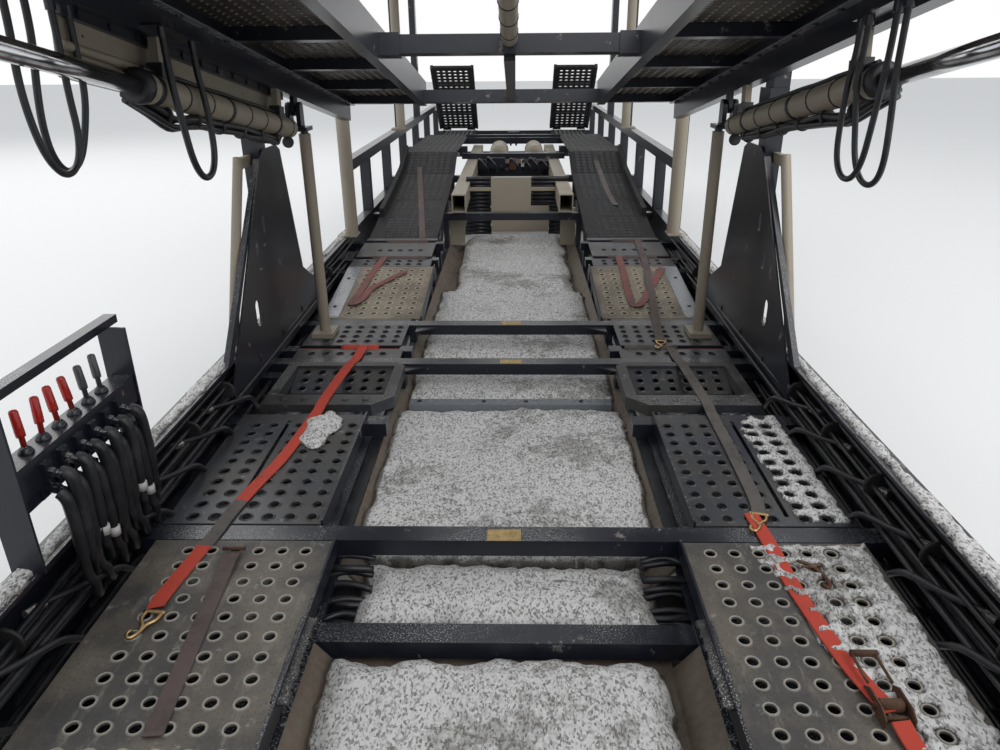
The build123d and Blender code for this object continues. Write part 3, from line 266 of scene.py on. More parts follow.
def painted(name, colour, dirt, dirt_amount=0.5, roughness=0.35, worn=(0.22, 0.20, 0.18), wear=0.62, spatter_and_glints=0.0):
    """Gloss paint with dust on what faces up and pale specks there, partly frozen spatter and partly painted glints of
    wet drops, grime in patches and chips down to the metal.
    """
    finish = Finish(name)
    up = finish.split(finish.facing)[2]
    patches = finish.noise(2.3, 5.0, 0.6)
    grit = finish.noise(34.0, 4.0, 0.7)
    chips = finish.noise(11.0, 6.0, 0.75).ramped(wear, wear + 0.05)
    cover = (patches * 0.6 + grit * 0.5).ramped(1.0 - dirt_amount, 1.15 - dirt_amount / 2)
    dust = (up.ramped(0.2, 0.9) * 0.6 + 0.4) * cover
    base = finish.mix(dust, finish.mix(chips * 0.8, colour, worn), dirt)
    if spatter_and_glints:
        # Pale specks on upward faces: partly frozen spatter, partly painted glints of wet drops
        specks = finish.noise(210.0, 2.0, 0.6).ramped(0.55, 0.62) * patches.ramped(0.40, 0.60)
        base = finish.mix(specks * up.ramped(0.4, 0.9) * spatter_and_glints, base, (0.42, 0.42, 0.41))
    finish.set(Base_Color=base, Roughness=dust * 0.45 + chips * 0.2 + roughness, Specular_IOR_Level=0.5)
    finish.bump(grit * 0.5 + patches, 0.0015, 0.4)


def worn_plate(name, base, grime, pale, collar, gloss=0.45, frost=None, metal=0.0, shine=0.5):
    """Deck plate: grimy in patches, scuffed, and in its own colour on the collars of its holes; a pale collar colour is
    partly metal rubbed bare and partly painted highlight.
    """
    finish = Finish(name)
    bare = finish.node("ShaderNodeAttribute", {"attribute_name": "bare"}, output="Fac")
    patches = finish.noise(3.1, 6.0, 0.65)
    grit = finish.noise(120.0, 3.0, 0.7)
    scuffs = finish.noise(9.0, 6.0, 0.7, stretch=(3.0, 0.7, 1.0))
    colour = finish.mix(patches.ramped(0.38, 0.62), base, grime)
    colour = finish.mix(scuffs.ramped(0.52, 0.72) * 0.75, colour, pale)
    colour = finish.mix(grit.ramped(0.56, 0.64) * 0.5, colour, (0.03, 0.03, 0.03))
    # Collar colour where the tiles' share is high: partly metal rubbed bare, partly a painted highlight on the raised
    # rims
    colour = finish.mix((bare * 1.2 - patches * 0.55).clamped(), colour, collar)
    if frost:
        colour = finish.mix(finish.noise(14.0, 6.0, 0.8).ramped(0.60, 0.70) * frost, colour, (0.55, 0.55, 0.54))
    finish.set(Base_Color=colour, Metallic=metal, Roughness=patches * 0.35 + grit * 0.15 + gloss - 0.2,
               Specular_IOR_Level=shine)
    finish.bump(grit * 0.35 + scuffs * 0.5, 0.0012, 0.5)


def frozen_slush(name):
    """Granular ice and snow with road dirt in its pits."""
    finish = Finish(name)
    thin = finish.node("ShaderNodeAttribute", {"attribute_name": "bare"}, output="Fac")
    grains = finish.noise(210.0, 2.0, 0.5, stretch=(1.0, 0.5, 1.0))
    along = finish.node("ShaderNodeVectorMath", {"operation": "MULTIPLY"}, {0: finish.place, 1: (1.0, 0.55, 1.0)})
    cells = finish.node("ShaderNodeTexVoronoi", None, {"Vector": along, "Scale": 190.0}, output="Color")
    lumps = finish.noise(24.0, 4.0, 0.7)
    stain = finish.noise(1.9, 6.0, 0.7)
    fine = finish.noise(520.0, 2.0, 0.6)
    soaked = (stain + (lumps - 0.5) * 0.35).ramped(0.53, 0.64)
    pits = (finish.split(cells)[0] * 0.75 + grains * 0.45 + fine * 0.30 - soaked * 0.12).ramped(0.20, 0.90)
    colour = finish.mix(pits, (0.11, 0.104, 0.094), (0.64, 0.635, 0.62))
    colour = finish.mix(soaked * 0.50, colour, (0.16, 0.15, 0.132))
    rift = finish.noise(2.6, 4.0, 0.55, stretch=(0.55, 1.9, 1.0)) - 0.5
    rift = rift.maths("ABSOLUTE", rift).ramped(0.0, 0.0045)
    gaps = finish.noise(3.3, 3.0, 0.5).ramped(0.46, 0.54)
    colour = finish.mix((1.0 - rift) * gaps * 0.8, colour, (0.10, 0.094, 0.085))
    wet = (thin * 1.25 + lumps * 0.8 - 0.75).ramped(0.0, 0.5)
    colour = finish.mix(wet * 0.85, colour, (0.085, 0.072, 0.058))
    finish.set(Base_Color=colour, Roughness=wet * -0.35 + grains * 0.2 + 0.6)
    finish.bump(pits * 0.5 + lumps, 0.004, 0.7)


def rubber(name, colour, dust, roughness=0.5):
    """Black rubber with dust in clouds."""
    finish = Finish(name)
    cloud = finish.noise(12.0, 5.0, 0.65)
    fine = finish.noise(180.0, 2.0, 0.6)
    finish.set(Base_Color=finish.mix(cloud.ramped(0.45, 0.75) * 0.6, colour, dust),
               Roughness=cloud * 0.3 + roughness - 0.1)
    finish.bump(fine, 0.0006, 0.5)


def metal(name, colour, tarnish, roughness=0.3, spread=0.62):
    """Bare metal with tarnish in patches and fine scratches."""
    finish = Finish(name)
    patches = finish.noise(16.0, 5.0, 0.7)
    scratches = finish.noise(60.0, 3.0, 0.6, stretch=(1.0, 0.15, 1.0))
    dull = patches.ramped(spread - 0.12, spread + 0.12)
    finish.set(Base_Color=finish.mix(dull, colour, tarnish), Metallic=1.0 - dull * 0.7,
               Roughness=dull * 0.4 + scratches * 0.2 + roughness - 0.1)
    finish.bump(scratches, 0.0004, 0.4)


def webbing(name, colour, dirt, amount):
    """Woven polyester: ribs across the strap, fine threads along it and ground-in dirt."""
    finish = Finish(name)
    across, along = finish.split(finish.node("ShaderNodeUVMap"))[:2]
    ribs = (along * 2400.0).maths("SINE", along * 2400.0) * 0.5 + 0.5
    warp = (across * 3600.0).maths("SINE", across * 3600.0) * 0.5 + 0.5
    soil = finish.noise(7.0, 5.0, 0.7)
    fuzz = finish.noise(90.0, 3.0, 0.7)
    base = finish.mix(ribs * 0.25 + warp * 0.15, colour, tuple(value * 0.55 for value in colour))
    cover = (soil * 0.75 + fuzz * 0.25).ramped(0.62 - amount * 0.3, 0.80 - amount * 0.3)
    finish.set(Base_Color=finish.mix(cover * 0.85, base, dirt), Roughness=soil * 0.2 + 0.7)
    finish.bump(ribs * 0.6 + warp * 0.4, 0.0006, 0.6)


def lens_plastic(name, colour):
    """A dusty moulded lamp lens."""
    finish = Finish(name)
    dust = finish.noise(30.0, 4.0, 0.7).ramped(0.5, 0.8)
    finish.set(Base_Color=finish.mix(dust * 0.5, colour, (0.16, 0.14, 0.12)), Roughness=dust * 0.4 + 0.15)
    finish.bump(finish.noise(260.0, 2.0), 0.0004, 0.4)


def make_finishes(context):
    """Makes every finish of the trailer."""
    colours = context.scene.trailer_colours
    black, beige, red = colours.black, colours.beige, colours.strap
    # The pale specks of the black paint and the grit coat are partly frozen spatter and partly painted glints of wet
    # drops
    painted("black_paint", black, (0.095, 0.092, 0.085), 0.40, 0.28, spatter_and_glints=0.8)
    painted("grit_coat", (0.012, 0.012, 0.014), (0.07, 0.068, 0.064), 0.6, 0.4, spatter_and_glints=1.0)
    painted("strip_paint", (0.20, 0.215, 0.235), (0.14, 0.13, 0.115), 0.5, 0.25)
    painted("beige_paint", beige, (0.20, 0.17, 0.13), 0.5, 0.5, (0.12, 0.09, 0.06), 0.66)
    painted("pan_paint", (0.155, 0.125, 0.095), (0.075, 0.055, 0.040), 0.62, 0.45, (0.20, 0.09, 0.03), 0.66)
    # The pale collar colours of the deck plates are partly metal rubbed bare and partly painted highlight
    worn_plate("near_plate", (0.125, 0.108, 0.088), (0.055, 0.052, 0.050), (0.21, 0.19, 0.16), (0.36, 0.335, 0.29),
               0.55, 0.30)
    worn_plate("dark_plate", (0.034, 0.038, 0.048), (0.045, 0.042, 0.038), (0.085, 0.085, 0.085),
               (0.022, 0.022, 0.024), 0.34, 0.35)
    worn_plate("beige_plate", (0.23, 0.19, 0.135), (0.14, 0.115, 0.085), (0.31, 0.27, 0.20), (0.50, 0.45, 0.36), 0.6,
               0.15)
    worn_plate("track_plate", (0.008, 0.009, 0.012), (0.018, 0.017, 0.016), (0.035, 0.035, 0.035), (0.17, 0.17, 0.17),
               0.55, 0.10, shine=0.22)
    # The upper sheets hang with their rims and dimples facing down; their pale collar colour is a painted highlight on
    # those bumps
    worn_plate("upper_sheet", (0.115, 0.100, 0.082), (0.070, 0.060, 0.048), (0.20, 0.185, 0.16), (0.46, 0.44, 0.40),
               0.42, None, 0.45)
    frozen_slush("slush")
    rubber("hose_rubber", (0.008, 0.009, 0.012), (0.045, 0.045, 0.05), 0.38)
    rubber("flap_rubber", (0.012, 0.012, 0.013), (0.06, 0.055, 0.05), 0.6)
    rubber("tyre_rubber", (0.016, 0.016, 0.017), (0.075, 0.07, 0.065), 0.7)
    metal("rod_chrome", (0.62, 0.63, 0.65), (0.25, 0.24, 0.23), 0.16, 0.75)
    metal("bare_steel", (0.36, 0.35, 0.34), (0.14, 0.11, 0.09), 0.4)
    metal("rusty_steel", (0.16, 0.10, 0.07), (0.09, 0.045, 0.025), 0.5, 0.45)
    metal("hook_brass", (0.50, 0.34, 0.16), (0.20, 0.13, 0.08), 0.35, 0.6)
    painted("wheel_paint", (0.52, 0.52, 0.51), (0.20, 0.18, 0.15), 0.55, 0.4, (0.15, 0.09, 0.06), 0.64)
    painted("axle_paint", (0.018, 0.018, 0.018), (0.13, 0.12, 0.10), 0.6, 0.6)
    webbing("strap_orange", red, (0.09, 0.055, 0.045), 0.35)
    webbing("strap_faded", (0.22, 0.075, 0.065), (0.10, 0.065, 0.055), 0.6)
    webbing("strap_brown", (0.105, 0.075, 0.070), (0.06, 0.045, 0.04), 0.6)
    webbing("strap_grey", (0.115, 0.100, 0.092), (0.055, 0.045, 0.042), 0.5)
    lens_plastic("red_lens", (0.35, 0.008, 0.008))
    lens_plastic("amber_lens", (0.60, 0.20, 0.01))
    lens_plastic("lever_red", (0.40, 0.018, 0.014))
    lens_plastic("lever_grey", (0.07, 0.07, 0.075))
    painted("blank_amber", (0.52, 0.36, 0.13), (0.16, 0.12, 0.07), 0.6, 0.5, (0.12, 0.09, 0.05), 0.60)


# Nodes whose finish differs from their slot's, and the finish of each material slot in the record
NODE_FINISHES = {"belly_pan": "pan_paint"}
SLOT_FINISHES = {
    "beige_paint": "beige_paint", "worn_deck_steel": "near_plate", "worn_black_deck": "dark_plate",
    "beige_deck": "beige_plate", "axle_steel": "axle_paint", "bare_steel": "bare_steel", "chrome_rod": "rod_chrome",
    "wheel_steel": "wheel_paint", "tyre": "tyre_rubber", "spring_rubber": "tyre_rubber", "flap_rubber": "flap_rubber",
    "hose_rubber": "hose_rubber", "strap_webbing": "strap_faded", "red_lamp": "red_lens", "amber_lamp": "amber_lens",
    "red_plastic": "lever_red",
}


def new_sheet():
    """An empty shape that keeps a share at each point: how bare a collar is rubbed together with its painted highlight,
    or how thin the snow lies.
    """
    shape = bmesh.new()
    shape.verts.layers.float.new("bare")
    return shape


def plain_mesh(shape, name):
    """Turns a shape into a mesh."""
    mesh = bpy.data.meshes.new(name)
    shape.to_mesh(mesh)
    shape.free()
    return mesh


def piece_from(shape, name, body, slot, *finishes):
    """Makes an object of a bmesh, gives it its finishes and lets it ride on a body, where one is named."""
    bmesh.ops.recalc_face_normals(shape, faces=shape.faces)
    mesh = plain_mesh(shape, name)
    for finish in finishes:
        mesh.materials.append(FINISHES[finish])
    piece = bpy.data.objects.new(name, mesh)
    bpy.context.collection.objects.link(piece)
    if body:
        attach(piece, body)
    return piece


def straight(*point):
    """Leaves a point where it is."""
    return Vector(point)


def join_rings(shape, rings):
    """Joins each ring of points to the next one, and gives the faces."""
    sides = len(rings[0])
    return [shape.faces.new((first[k], first[(k + 1) % sides], second[(k + 1) % sides], second[k]))
            for first, second in zip(rings, rings[1:]) for k in range(sides)]


def add_skin(shape, rings, finish=0, smooth=False):
    """Joins rings of points, first to last, into a closed tube with flat ends."""
    for face in (shape.faces.new(reversed(rings[0])), shape.faces.new(rings[-1]), *join_rings(shape, rings)):
        face.material_index = finish
        face.smooth = smooth and len(face.verts) == 4


def add_block(shape, low, high, place=straight, cuts=(), finish=0):
    """A closed block between two corners, divided along its second direction at the cuts, then put in place."""
    rows = [low[1]] + sorted(cut for cut in cuts if low[1] < cut < high[1]) + [high[1]]
    rings = []
    for v in rows:
        corners = ((low[0], low[2]), (high[0], low[2]), (high[0], high[2]), (low[0], high[2]))
        rings.append([shape.verts.new(place(u, v, w)) for u, w in corners])
    add_skin(shape, rings, finish)


def add_plate(shape, place, profile, low, high):
    """A closed plate: its outline is given by two places, and it reaches from low to high along the third."""
    add_skin(shape, [[shape.verts.new(place(*point, level)) for point in profile] for level in (low, high)])


def smooth_path(points, steps=6):
    """Points along a smooth curve through the given ones."""
    points = [Vector(point) for point in points]
    ends = [points[0] * 2 - points[1]] + points + [points[-1] * 2 - points[-2]]
    path = []
    for a, b, c, d in zip(ends, ends[1:], ends[2:], ends[3:]):
        for step in range(steps):
            t = step / steps
            path.append(0.5 * (2 * b + (c - a) * t + (2 * a - 5 * b + 4 * c - d) * t * t
                               + (3 * b - a - 3 * c + d) * t * t * t))
    return path + [points[-1]]


def add_tube(shape, path, radius, sides=8):
    """A closed round tube along a path. A list of radii makes it taper."""
    path = [Vector(point) for point in path]
    radii = radius if isinstance(radius, list) else [radius] * len(path)
    across = None
    rings = []
    for index, point in enumerate(path):
        ahead = path[min(index + 1, len(path) - 1)] - path[max(index - 1, 0)]
        ahead.normalize()
        if across is None:
            across = ahead.orthogonal().normalized()
        across = (across - ahead * across.dot(ahead)).normalized()
        other = ahead.cross(across)
        rings.append([shape.verts.new(point + (across * cos(2 * pi * k / sides) + other * sin(2 * pi * k / sides))
                                      * radii[index]) for k in range(sides)])
    add_skin(shape, rings, smooth=True)


def add_turned(shape, centre, axis, profile, sides=16, finish=0, smooth=True):
    """A solid of revolution: its profile is (distance along the axis, radius) rows."""
    axis = Vector(axis).normalized()
    across = axis.orthogonal().normalized()
    other = axis.cross(across)
    rings = []
    for along, radius in profile:
        rings.append([shape.verts.new(Vector(centre) + axis * along + (across * cos(2 * pi * (k + 0.5) / sides)
                                      + other * sin(2 * pi * (k + 0.5) / sides)) * radius) for k in range(sides)])
    add_skin(shape, rings, finish, smooth)


def disc(low, high, bore, foot, top=None):
    """Profile of a head, washer or collar: its reach along the axis, and the radii of its bore, foot and top."""
    return ((low, bore), (low, foot), (high, top or foot), (high, bore))


def heading(place, *way):
    """The direction that a placing function gives to a way."""
    return place(*way) - place(0, 0, 0)


# Webbing: thickness and section, as shares of the width across and of the thickness up
STRAP_THICKNESS = 0.003
STRAP_SECTION = ((-0.5, 0), (-0.46, 1), (-0.15, 1.15), (0.15, 1.15), (0.46, 1), (0.5, 0), (0.15, 0.1), (-0.15, 0.1))


def add_strap(shape, points, width):
    """A length of webbing along points, flat side up, with its UV map in metres."""
    layer = shape.loops.layers.uv.verify()
    path = smooth_path(points)
    run = 0.0
    rings = []
    for index, point in enumerate(path):
        ahead = path[min(index + 1, len(path) - 1)] - path[max(index - 1, 0)]
        side = ahead.cross(Vector((0.0, 0.0, 1.0))).normalized()
        up = side.cross(ahead).normalized()
        if index:
            run += (point - path[index - 1]).length
        ring = []
        for share, rise in STRAP_SECTION:
            across = share * width
            ring.append((shape.verts.new(point + side * across + up * rise * STRAP_THICKNESS), across, run))
        rings.append(ring)
    count = len(rings[0])
    for first, second in zip(rings, rings[1:]):
        for k in range(count):
            quad = (first[k], first[(k + 1) % count], second[(k + 1) % count], second[k])
            face = shape.faces.new([corner[0] for corner in quad])
            for loop, corner in zip(face.loops, quad):
                loop[layer].uv = corner[1:]
    for ring in (rings[0][::-1], rings[-1]):
        shape.faces.new([corner[0] for corner in ring])


def tile_ring(shape, angles, reach, stretch, height, polish_and_highlight):
    """A ring of points round a tile's middle, or along the tile's own edge where no reach is given."""
    bare = shape.verts.layers.float["bare"]
    ring = []
    for angle in angles:
        width = reach or 0.5 / max(abs(cos(angle)), abs(sin(angle)))
        ring.append(shape.verts.new((width * cos(angle) * stretch[0], width * sin(angle) * stretch[1], height)))
        ring[-1][bare] = polish_and_highlight
    return ring


def hole_tile(pitch, radius, rise, sides, stretch=(1.0, 1.0), flare=1.5, rounded=True):
    """One rectangle of pressed plate round a hole with a raised collar, open at its four edges.

    A rounded collar falls a little towards the hole; the others end in a plain edge."""
    shape = new_sheet()
    turn = 0.0 if sides % 8 == 0 else 0.5
    angles = [2 * pi * (k + turn) / sides for k in range(sides)]
    # The collar's share of bare metal and painted highlight: full at its crest, 0.9 inside it and a quarter where it
    # flares
    collar = ((1.18, rise, 1.0), (1.0, rise * 0.7, 0.9)) if rounded else ((1.08, rise, 1.0),)
    rings = [tile_ring(shape, angles, None, pitch, 0.0, 0.0)]
    for share, height, polish_and_highlight in ((flare, 0.0, 0.25), *collar, (1.0, -SHEET, 0.0)):
        rings.append(tile_ring(shape, angles, radius * share, stretch, height, polish_and_highlight))
    rings.append(tile_ring(shape, angles, None, pitch, -SHEET, 0.0))
    join_rings(shape, rings)
    return plain_mesh(shape, "tile")


def dimple_tile(pitch, radius, rise):
    """One rectangle of sheet with a pressed dimple, open at its four edges."""
    shape = new_sheet()
    angles = [2 * pi * k / 8 for k in range(8)]
    edge = tile_ring(shape, angles, None, pitch, 0.0, 0.0)
    foot = tile_ring(shape, angles, radius, (1.0, 1.0), 0.0, 0.0)
    tip = shape.verts.new((0.0, 0.0, rise * 1.15))
    # The dimple's tip takes the full collar colour: a painted highlight on the bump
    tip[shape.verts.layers.float["bare"]] = 1.0
    join_rings(shape, (edge, foot))
    for k in range(8):
        shape.faces.new((foot[k], foot[(k + 1) % 8], tip))
    shape.faces.new(tile_ring(shape, angles, None, pitch, -SHEET, 0.0)[::-1])
    return plain_mesh(shape, "tile")


def field_tree():
    """Geometry Nodes that repeat the object's mesh in columns and rows."""
    tree = bpy.data.node_groups.get("rows_and_columns")
    if tree:
        return tree
    tree = bpy.data.node_groups.new("rows_and_columns", "GeometryNodeTree")
    face = tree.interface
    face.new_socket("Geometry", in_out="INPUT", socket_type="NodeSocketGeometry")
    for name, kind in (("Columns", "Int"), ("Rows", "Int"), ("Column Pitch", "Float"), ("Row Pitch", "Float"),
                       ("Finish", "Material")):
        face.new_socket(name, in_out="INPUT", socket_type="NodeSocket" + kind)
    face.new_socket("Geometry", in_out="OUTPUT", socket_type="NodeSocketGeometry")

    def node(kind, **links):
        made = tree.nodes.new(kind)
        for name, value in links.items():
            socket = made.inputs[name.replace("_", " ")]
            if hasattr(value, "is_linked"):
                tree.links.new(value, socket)
            else:
                socket.default_value = value
        return made

    given = tree.nodes.new("NodeGroupInput").outputs
    across = node("ShaderNodeCombineXYZ", X=given["Column Pitch"])
    along = node("ShaderNodeCombineXYZ", Y=given["Row Pitch"])
    columns = node("GeometryNodeMeshLine", Count=given["Columns"], Offset=across.outputs[0])
    rows = node("GeometryNodeMeshLine", Count=given["Rows"], Offset=along.outputs[0])
    grid = node("GeometryNodeInstanceOnPoints", Points=columns.outputs[0], Instance=rows.outputs[0])
    points = node("GeometryNodeRealizeInstances", Geometry=grid.outputs[0])
    tiles = node("GeometryNodeInstanceOnPoints", Points=points.outputs[0], Instance=given["Geometry"])
    whole = node("GeometryNodeRealizeInstances", Geometry=tiles.outputs[0])
    joined = node("GeometryNodeMergeByDistance", Geometry=whole.outputs[0], Distance=0.0002)
    finished = node("GeometryNodeSetMaterial", Geometry=joined.outputs[0], Material=given["Finish"])
    out = tree.nodes.new("NodeGroupOutput")
    tree.links.new(finished.outputs[0], out.inputs["Geometry"])
    return tree


def repeated(tile, columns, rows, pitch, finish):
    """The tile's mesh in columns and rows, as one plain mesh."""
    holder = bpy.data.objects.new("tile_holder", tile)
    bpy.context.collection.objects.link(holder)
    modifier = holder.modifiers.new("repeat", "NODES")
    modifier.node_group = field_tree()
    values = {"Columns": columns, "Rows": rows, "Column Pitch": pitch[0], "Row Pitch": pitch[1],
              "Finish": FINISHES[finish]}
    for item in modifier.node_group.interface.items_tree:
        if item.in_out == "INPUT" and item.name in values:
            modifier[item.identifier] = values[item.name]
    evaluated = holder.evaluated_get(bpy.context.evaluated_depsgraph_get())
    mesh = bpy.data.meshes.new_from_object(evaluated)
    bpy.data.objects.remove(holder)
    return mesh


def add_field(shape, tile, columns, rows, pitch, first, place, finish):
    """Adds a field of holes: its first tile's middle is given across and along, and its edges are closed."""
    flat = repeated(tile, columns, rows, pitch, finish)
    field = bmesh.new()
    field.from_mesh(flat)
    edges = [edge for edge in field.edges if edge.is_boundary]
    bmesh.ops.bridge_loops(field, edges=edges)
    for vert in field.verts:
        vert.co = place(first[0] + vert.co.x, first[1] + vert.co.y, vert.co.z)
    for face in field.faces:
        face.material_index = 0
    field.to_mesh(flat)
    field.free()
    shape.from_mesh(flat)
    bpy.data.meshes.remove(flat)


def add_pressed_plate(shape, tile, pitch, span, reach, holes, place, finish, cuts=BENDS):
    """A plate from span[0] to span[1] across and reach[0] to reach[1] along, with a field of holes in it.

    holes are the first column and row, and the numbers of columns and rows."""
    column, row, columns, rows = holes
    low = (column - pitch[0] / 2, row - pitch[1] / 2)
    high = (low[0] + columns * pitch[0], low[1] + rows * pitch[1])
    add_field(shape, tile, columns, rows, pitch, (column, row), place, finish)
    for corner, far in (((span[0], reach[0]), (low[0], reach[1])), ((high[0], reach[0]), (span[1], reach[1])),
                        ((low[0], reach[0]), (high[0], low[1])), ((low[0], high[1]), (high[0], reach[1]))):
        if far[0] - corner[0] > 0.001 and far[1] - corner[1] > 0.001:
            add_block(shape, (*corner, -SHEET), (*far, 0.0), place, cuts)


def add_lip(shape, outer, reach, place):
    """The folded edge under a plate's outer side."""
    add_block(shape, (outer - SHEET, reach[0], -LIP_DEPTH), (outer, reach[1], -SHEET), place, BENDS)


# Hole fields that snow lies on, of the near plates and of the outer middle ones: first column, first row, columns, rows
DECK_PITCH = 0.0762
NEAR_HOLES = (0.647, -0.4864, 6, 33)
OUTER_HOLES = (1.012, 2.1446, 2, 10)

# Lower deck plates: name, CAD node, slot and finish, and for each plate its width, its reach by station
# and its holes: first column, first row, columns and rows
LOWER_PLATES = (
    ("front_plates", "front_deck_plates", "worn_deck_steel", "near_plate",
     (((0.567, 1.158), (-0.58, 2.01), NEAR_HOLES),)),
    ("middle_plates", "middle_deck_plates", "worn_black_deck", "dark_plate",
     (((0.635, 0.951), (2.105, 2.94), (0.675, 2.1446, 4, 10)), ((0.967, 1.18), (2.105, 2.94), OUTER_HOLES))),
    ("slot_plates", "slot_deck_plates", "worn_black_deck", "dark_plate",
     (((0.580, 1.15), (3.605, 3.728), (0.68, 3.667, 6, 1)), ((0.600, 1.15), (3.792, 4.12), (0.645, 3.855, 6, 4)),
      ((0.600, 1.15), (4.20, 4.235), None), ((0.575, 1.15), (5.095, 5.273), (0.66, 5.145, 6, 2)),
      ((0.590, 1.15), (5.337, 5.718), (0.69, 5.50, 5, 1)), ((0.590, 1.15), (5.782, 5.845), None))),
    ("beige_plates", "beige_deck_plates", "beige_deck", "beige_plate",
     (((0.547, 1.15), (4.24, 5.09), (0.617, 4.32, 6, 10)),)),
)


def record_slot(node):
    """The material slot that the record gives a node."""
    return next(part["material_slot"] for part in frame["record"]["subparts"] if part["node"] == node)


class TRAILER_OT_deck_plates(bpy.types.Operator):
    """Makes the perforated plates of the lower deck"""

    bl_idname = "trailer.deck_plates"
    bl_label = "Deck Plates"

    def execute(self, context):
        sizes = context.scene.trailer_sizes
        pitch = (DECK_PITCH, DECK_PITCH)
        for name, node, slot, finish, plates in LOWER_PLATES:
            shape = new_sheet()
            radius = sizes.hole_radius * (1.08 if node == "middle_deck_plates" else 1.0)
            for side in (LEFT, RIGHT):
                place = on_lower_deck(side)
                for span, reach, holes in plates:
                    if holes:
                        tile = hole_tile(pitch, radius, sizes.collar_rise, 12)
                        add_pressed_plate(shape, tile, pitch, span, reach, holes, place, finish)
                    else:
                        add_block(shape, (span[0], reach[0], -SHEET), (span[1], reach[1], 0.0), place)
                    if span[1] > 1.1:
                        add_lip(shape, span[1], reach, place)
                if node == "middle_deck_plates":
                    for start, end in ((2.105, 2.16), (2.88, 2.94)):
                        add_block(shape, (0.951, start, -SHEET), (0.967, end, 0.0), place)
            piece = piece_from(shape, name, "frame", slot, finish)
            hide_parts(node)
        return {"FINISHED"}


def mirrored(side):
    """Places a point given from the middle, along and up."""
    return lambda u, v, w: Vector((side * u, v, w))


# Drop flaps: station and height of the hinge pin, heights and ends of the frame, the dished panel's front edge and
# slope, and the pitch of its holes
FLAP_HINGE, FLAP_PIN_Z = 2.985, 0.560
FLAP_HEIGHTS = (0.545, 0.600)
FLAP_START, FLAP_END = 3.010, 3.515
FLAP_PANEL = (3.28, 0.530, 16.56)
FLAP_PITCH = (DECK_PITCH, 0.062)


class TRAILER_OT_deck_flaps(bpy.types.Operator):
    """Makes the two drop flaps of the lower deck with their perforated panels"""

    bl_idname = "trailer.deck_flaps"
    bl_label = "Deck Flaps"

    def execute(self, context):
        low, high = FLAP_HEIGHTS
        y0, y1 = station(FLAP_START), station(FLAP_END)
        i0, i1 = station(3.12), y1 - 0.050
        corners = {"A": (0.625, y0), "B": (1.130, y0), "C": (1.130, y1), "D": (0.580, y1), "E": (0.535, y1 - 0.045),
                   "F": (0.535, y0 + 0.090), "a": (0.585, i0), "b": (1.080, i0), "c": (1.080, i1), "d": (0.585, i1)}
        for side, body in ((LEFT, "flap_left"), (RIGHT, "flap_right")):
            shape = new_sheet()
            place = mirrored(side)
            top = {key: shape.verts.new(place(*corner, high)) for key, corner in corners.items()}
            bottom = {key: shape.verts.new(place(*corner, low)) for key, corner in corners.items()}
            for keys in ("ABba", "BCcb", "CDdc", "DEd", "EFad", "FAa"):
                shape.faces.new([top[key] for key in keys])
                shape.faces.new([bottom[key] for key in reversed(keys)])
            for loop in ("ABCDEF", "dcba"):
                for here, there in zip(loop, loop[1:] + loop[0]):
                    shape.faces.new((top[there], top[here], bottom[here], bottom[there]))
            panel = on_upper_deck(FLAP_PANEL, side)
            tile = hole_tile(FLAP_PITCH, 0.0165, 0.004, 12)
            add_pressed_plate(shape, tile, FLAP_PITCH, (0.5855, 1.0795), (0.0, 0.1925), (0.645, 0.036, 6, 3), panel,
                              "dark_plate", ())
            for start, end in ((0.700, 0.790), (0.940, 1.030)):
                add_block(shape, (start, station(FLAP_HINGE), low), (end, y0 + 0.001, FLAP_PIN_Z), place)
                add_turned(shape, place((start + end) / 2, station(FLAP_HINGE), FLAP_PIN_Z), (1, 0, 0),
                           disc(-0.045, 0.045, 0.009, 0.015), 20)
            for index in range(5):
                add_turned(shape, place(0.66 + 0.095 * index, y0 + 0.055, high), (0, 0, 1),
                           disc(-0.001, 0.003, 0.004, 0.017, 0.015), 14)
            for face in shape.faces:
                if face.calc_center_median().z > 0.5995:
                    face.material_index = 1
            node = "deck_" + body
            flap = piece_from(shape, "drop_" + body, body, record_slot(node), "dark_plate", "grit_coat")
            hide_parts(node)
        return {"FINISHED"}


# Folded tail ramps: station and height of the hinge with the lean, length, and pitch of the holes
RAMP_PLANE = (12.62, 0.940, 141.0)
RAMP_LENGTH = 1.500
RAMP_PITCH = (0.080, 0.070)


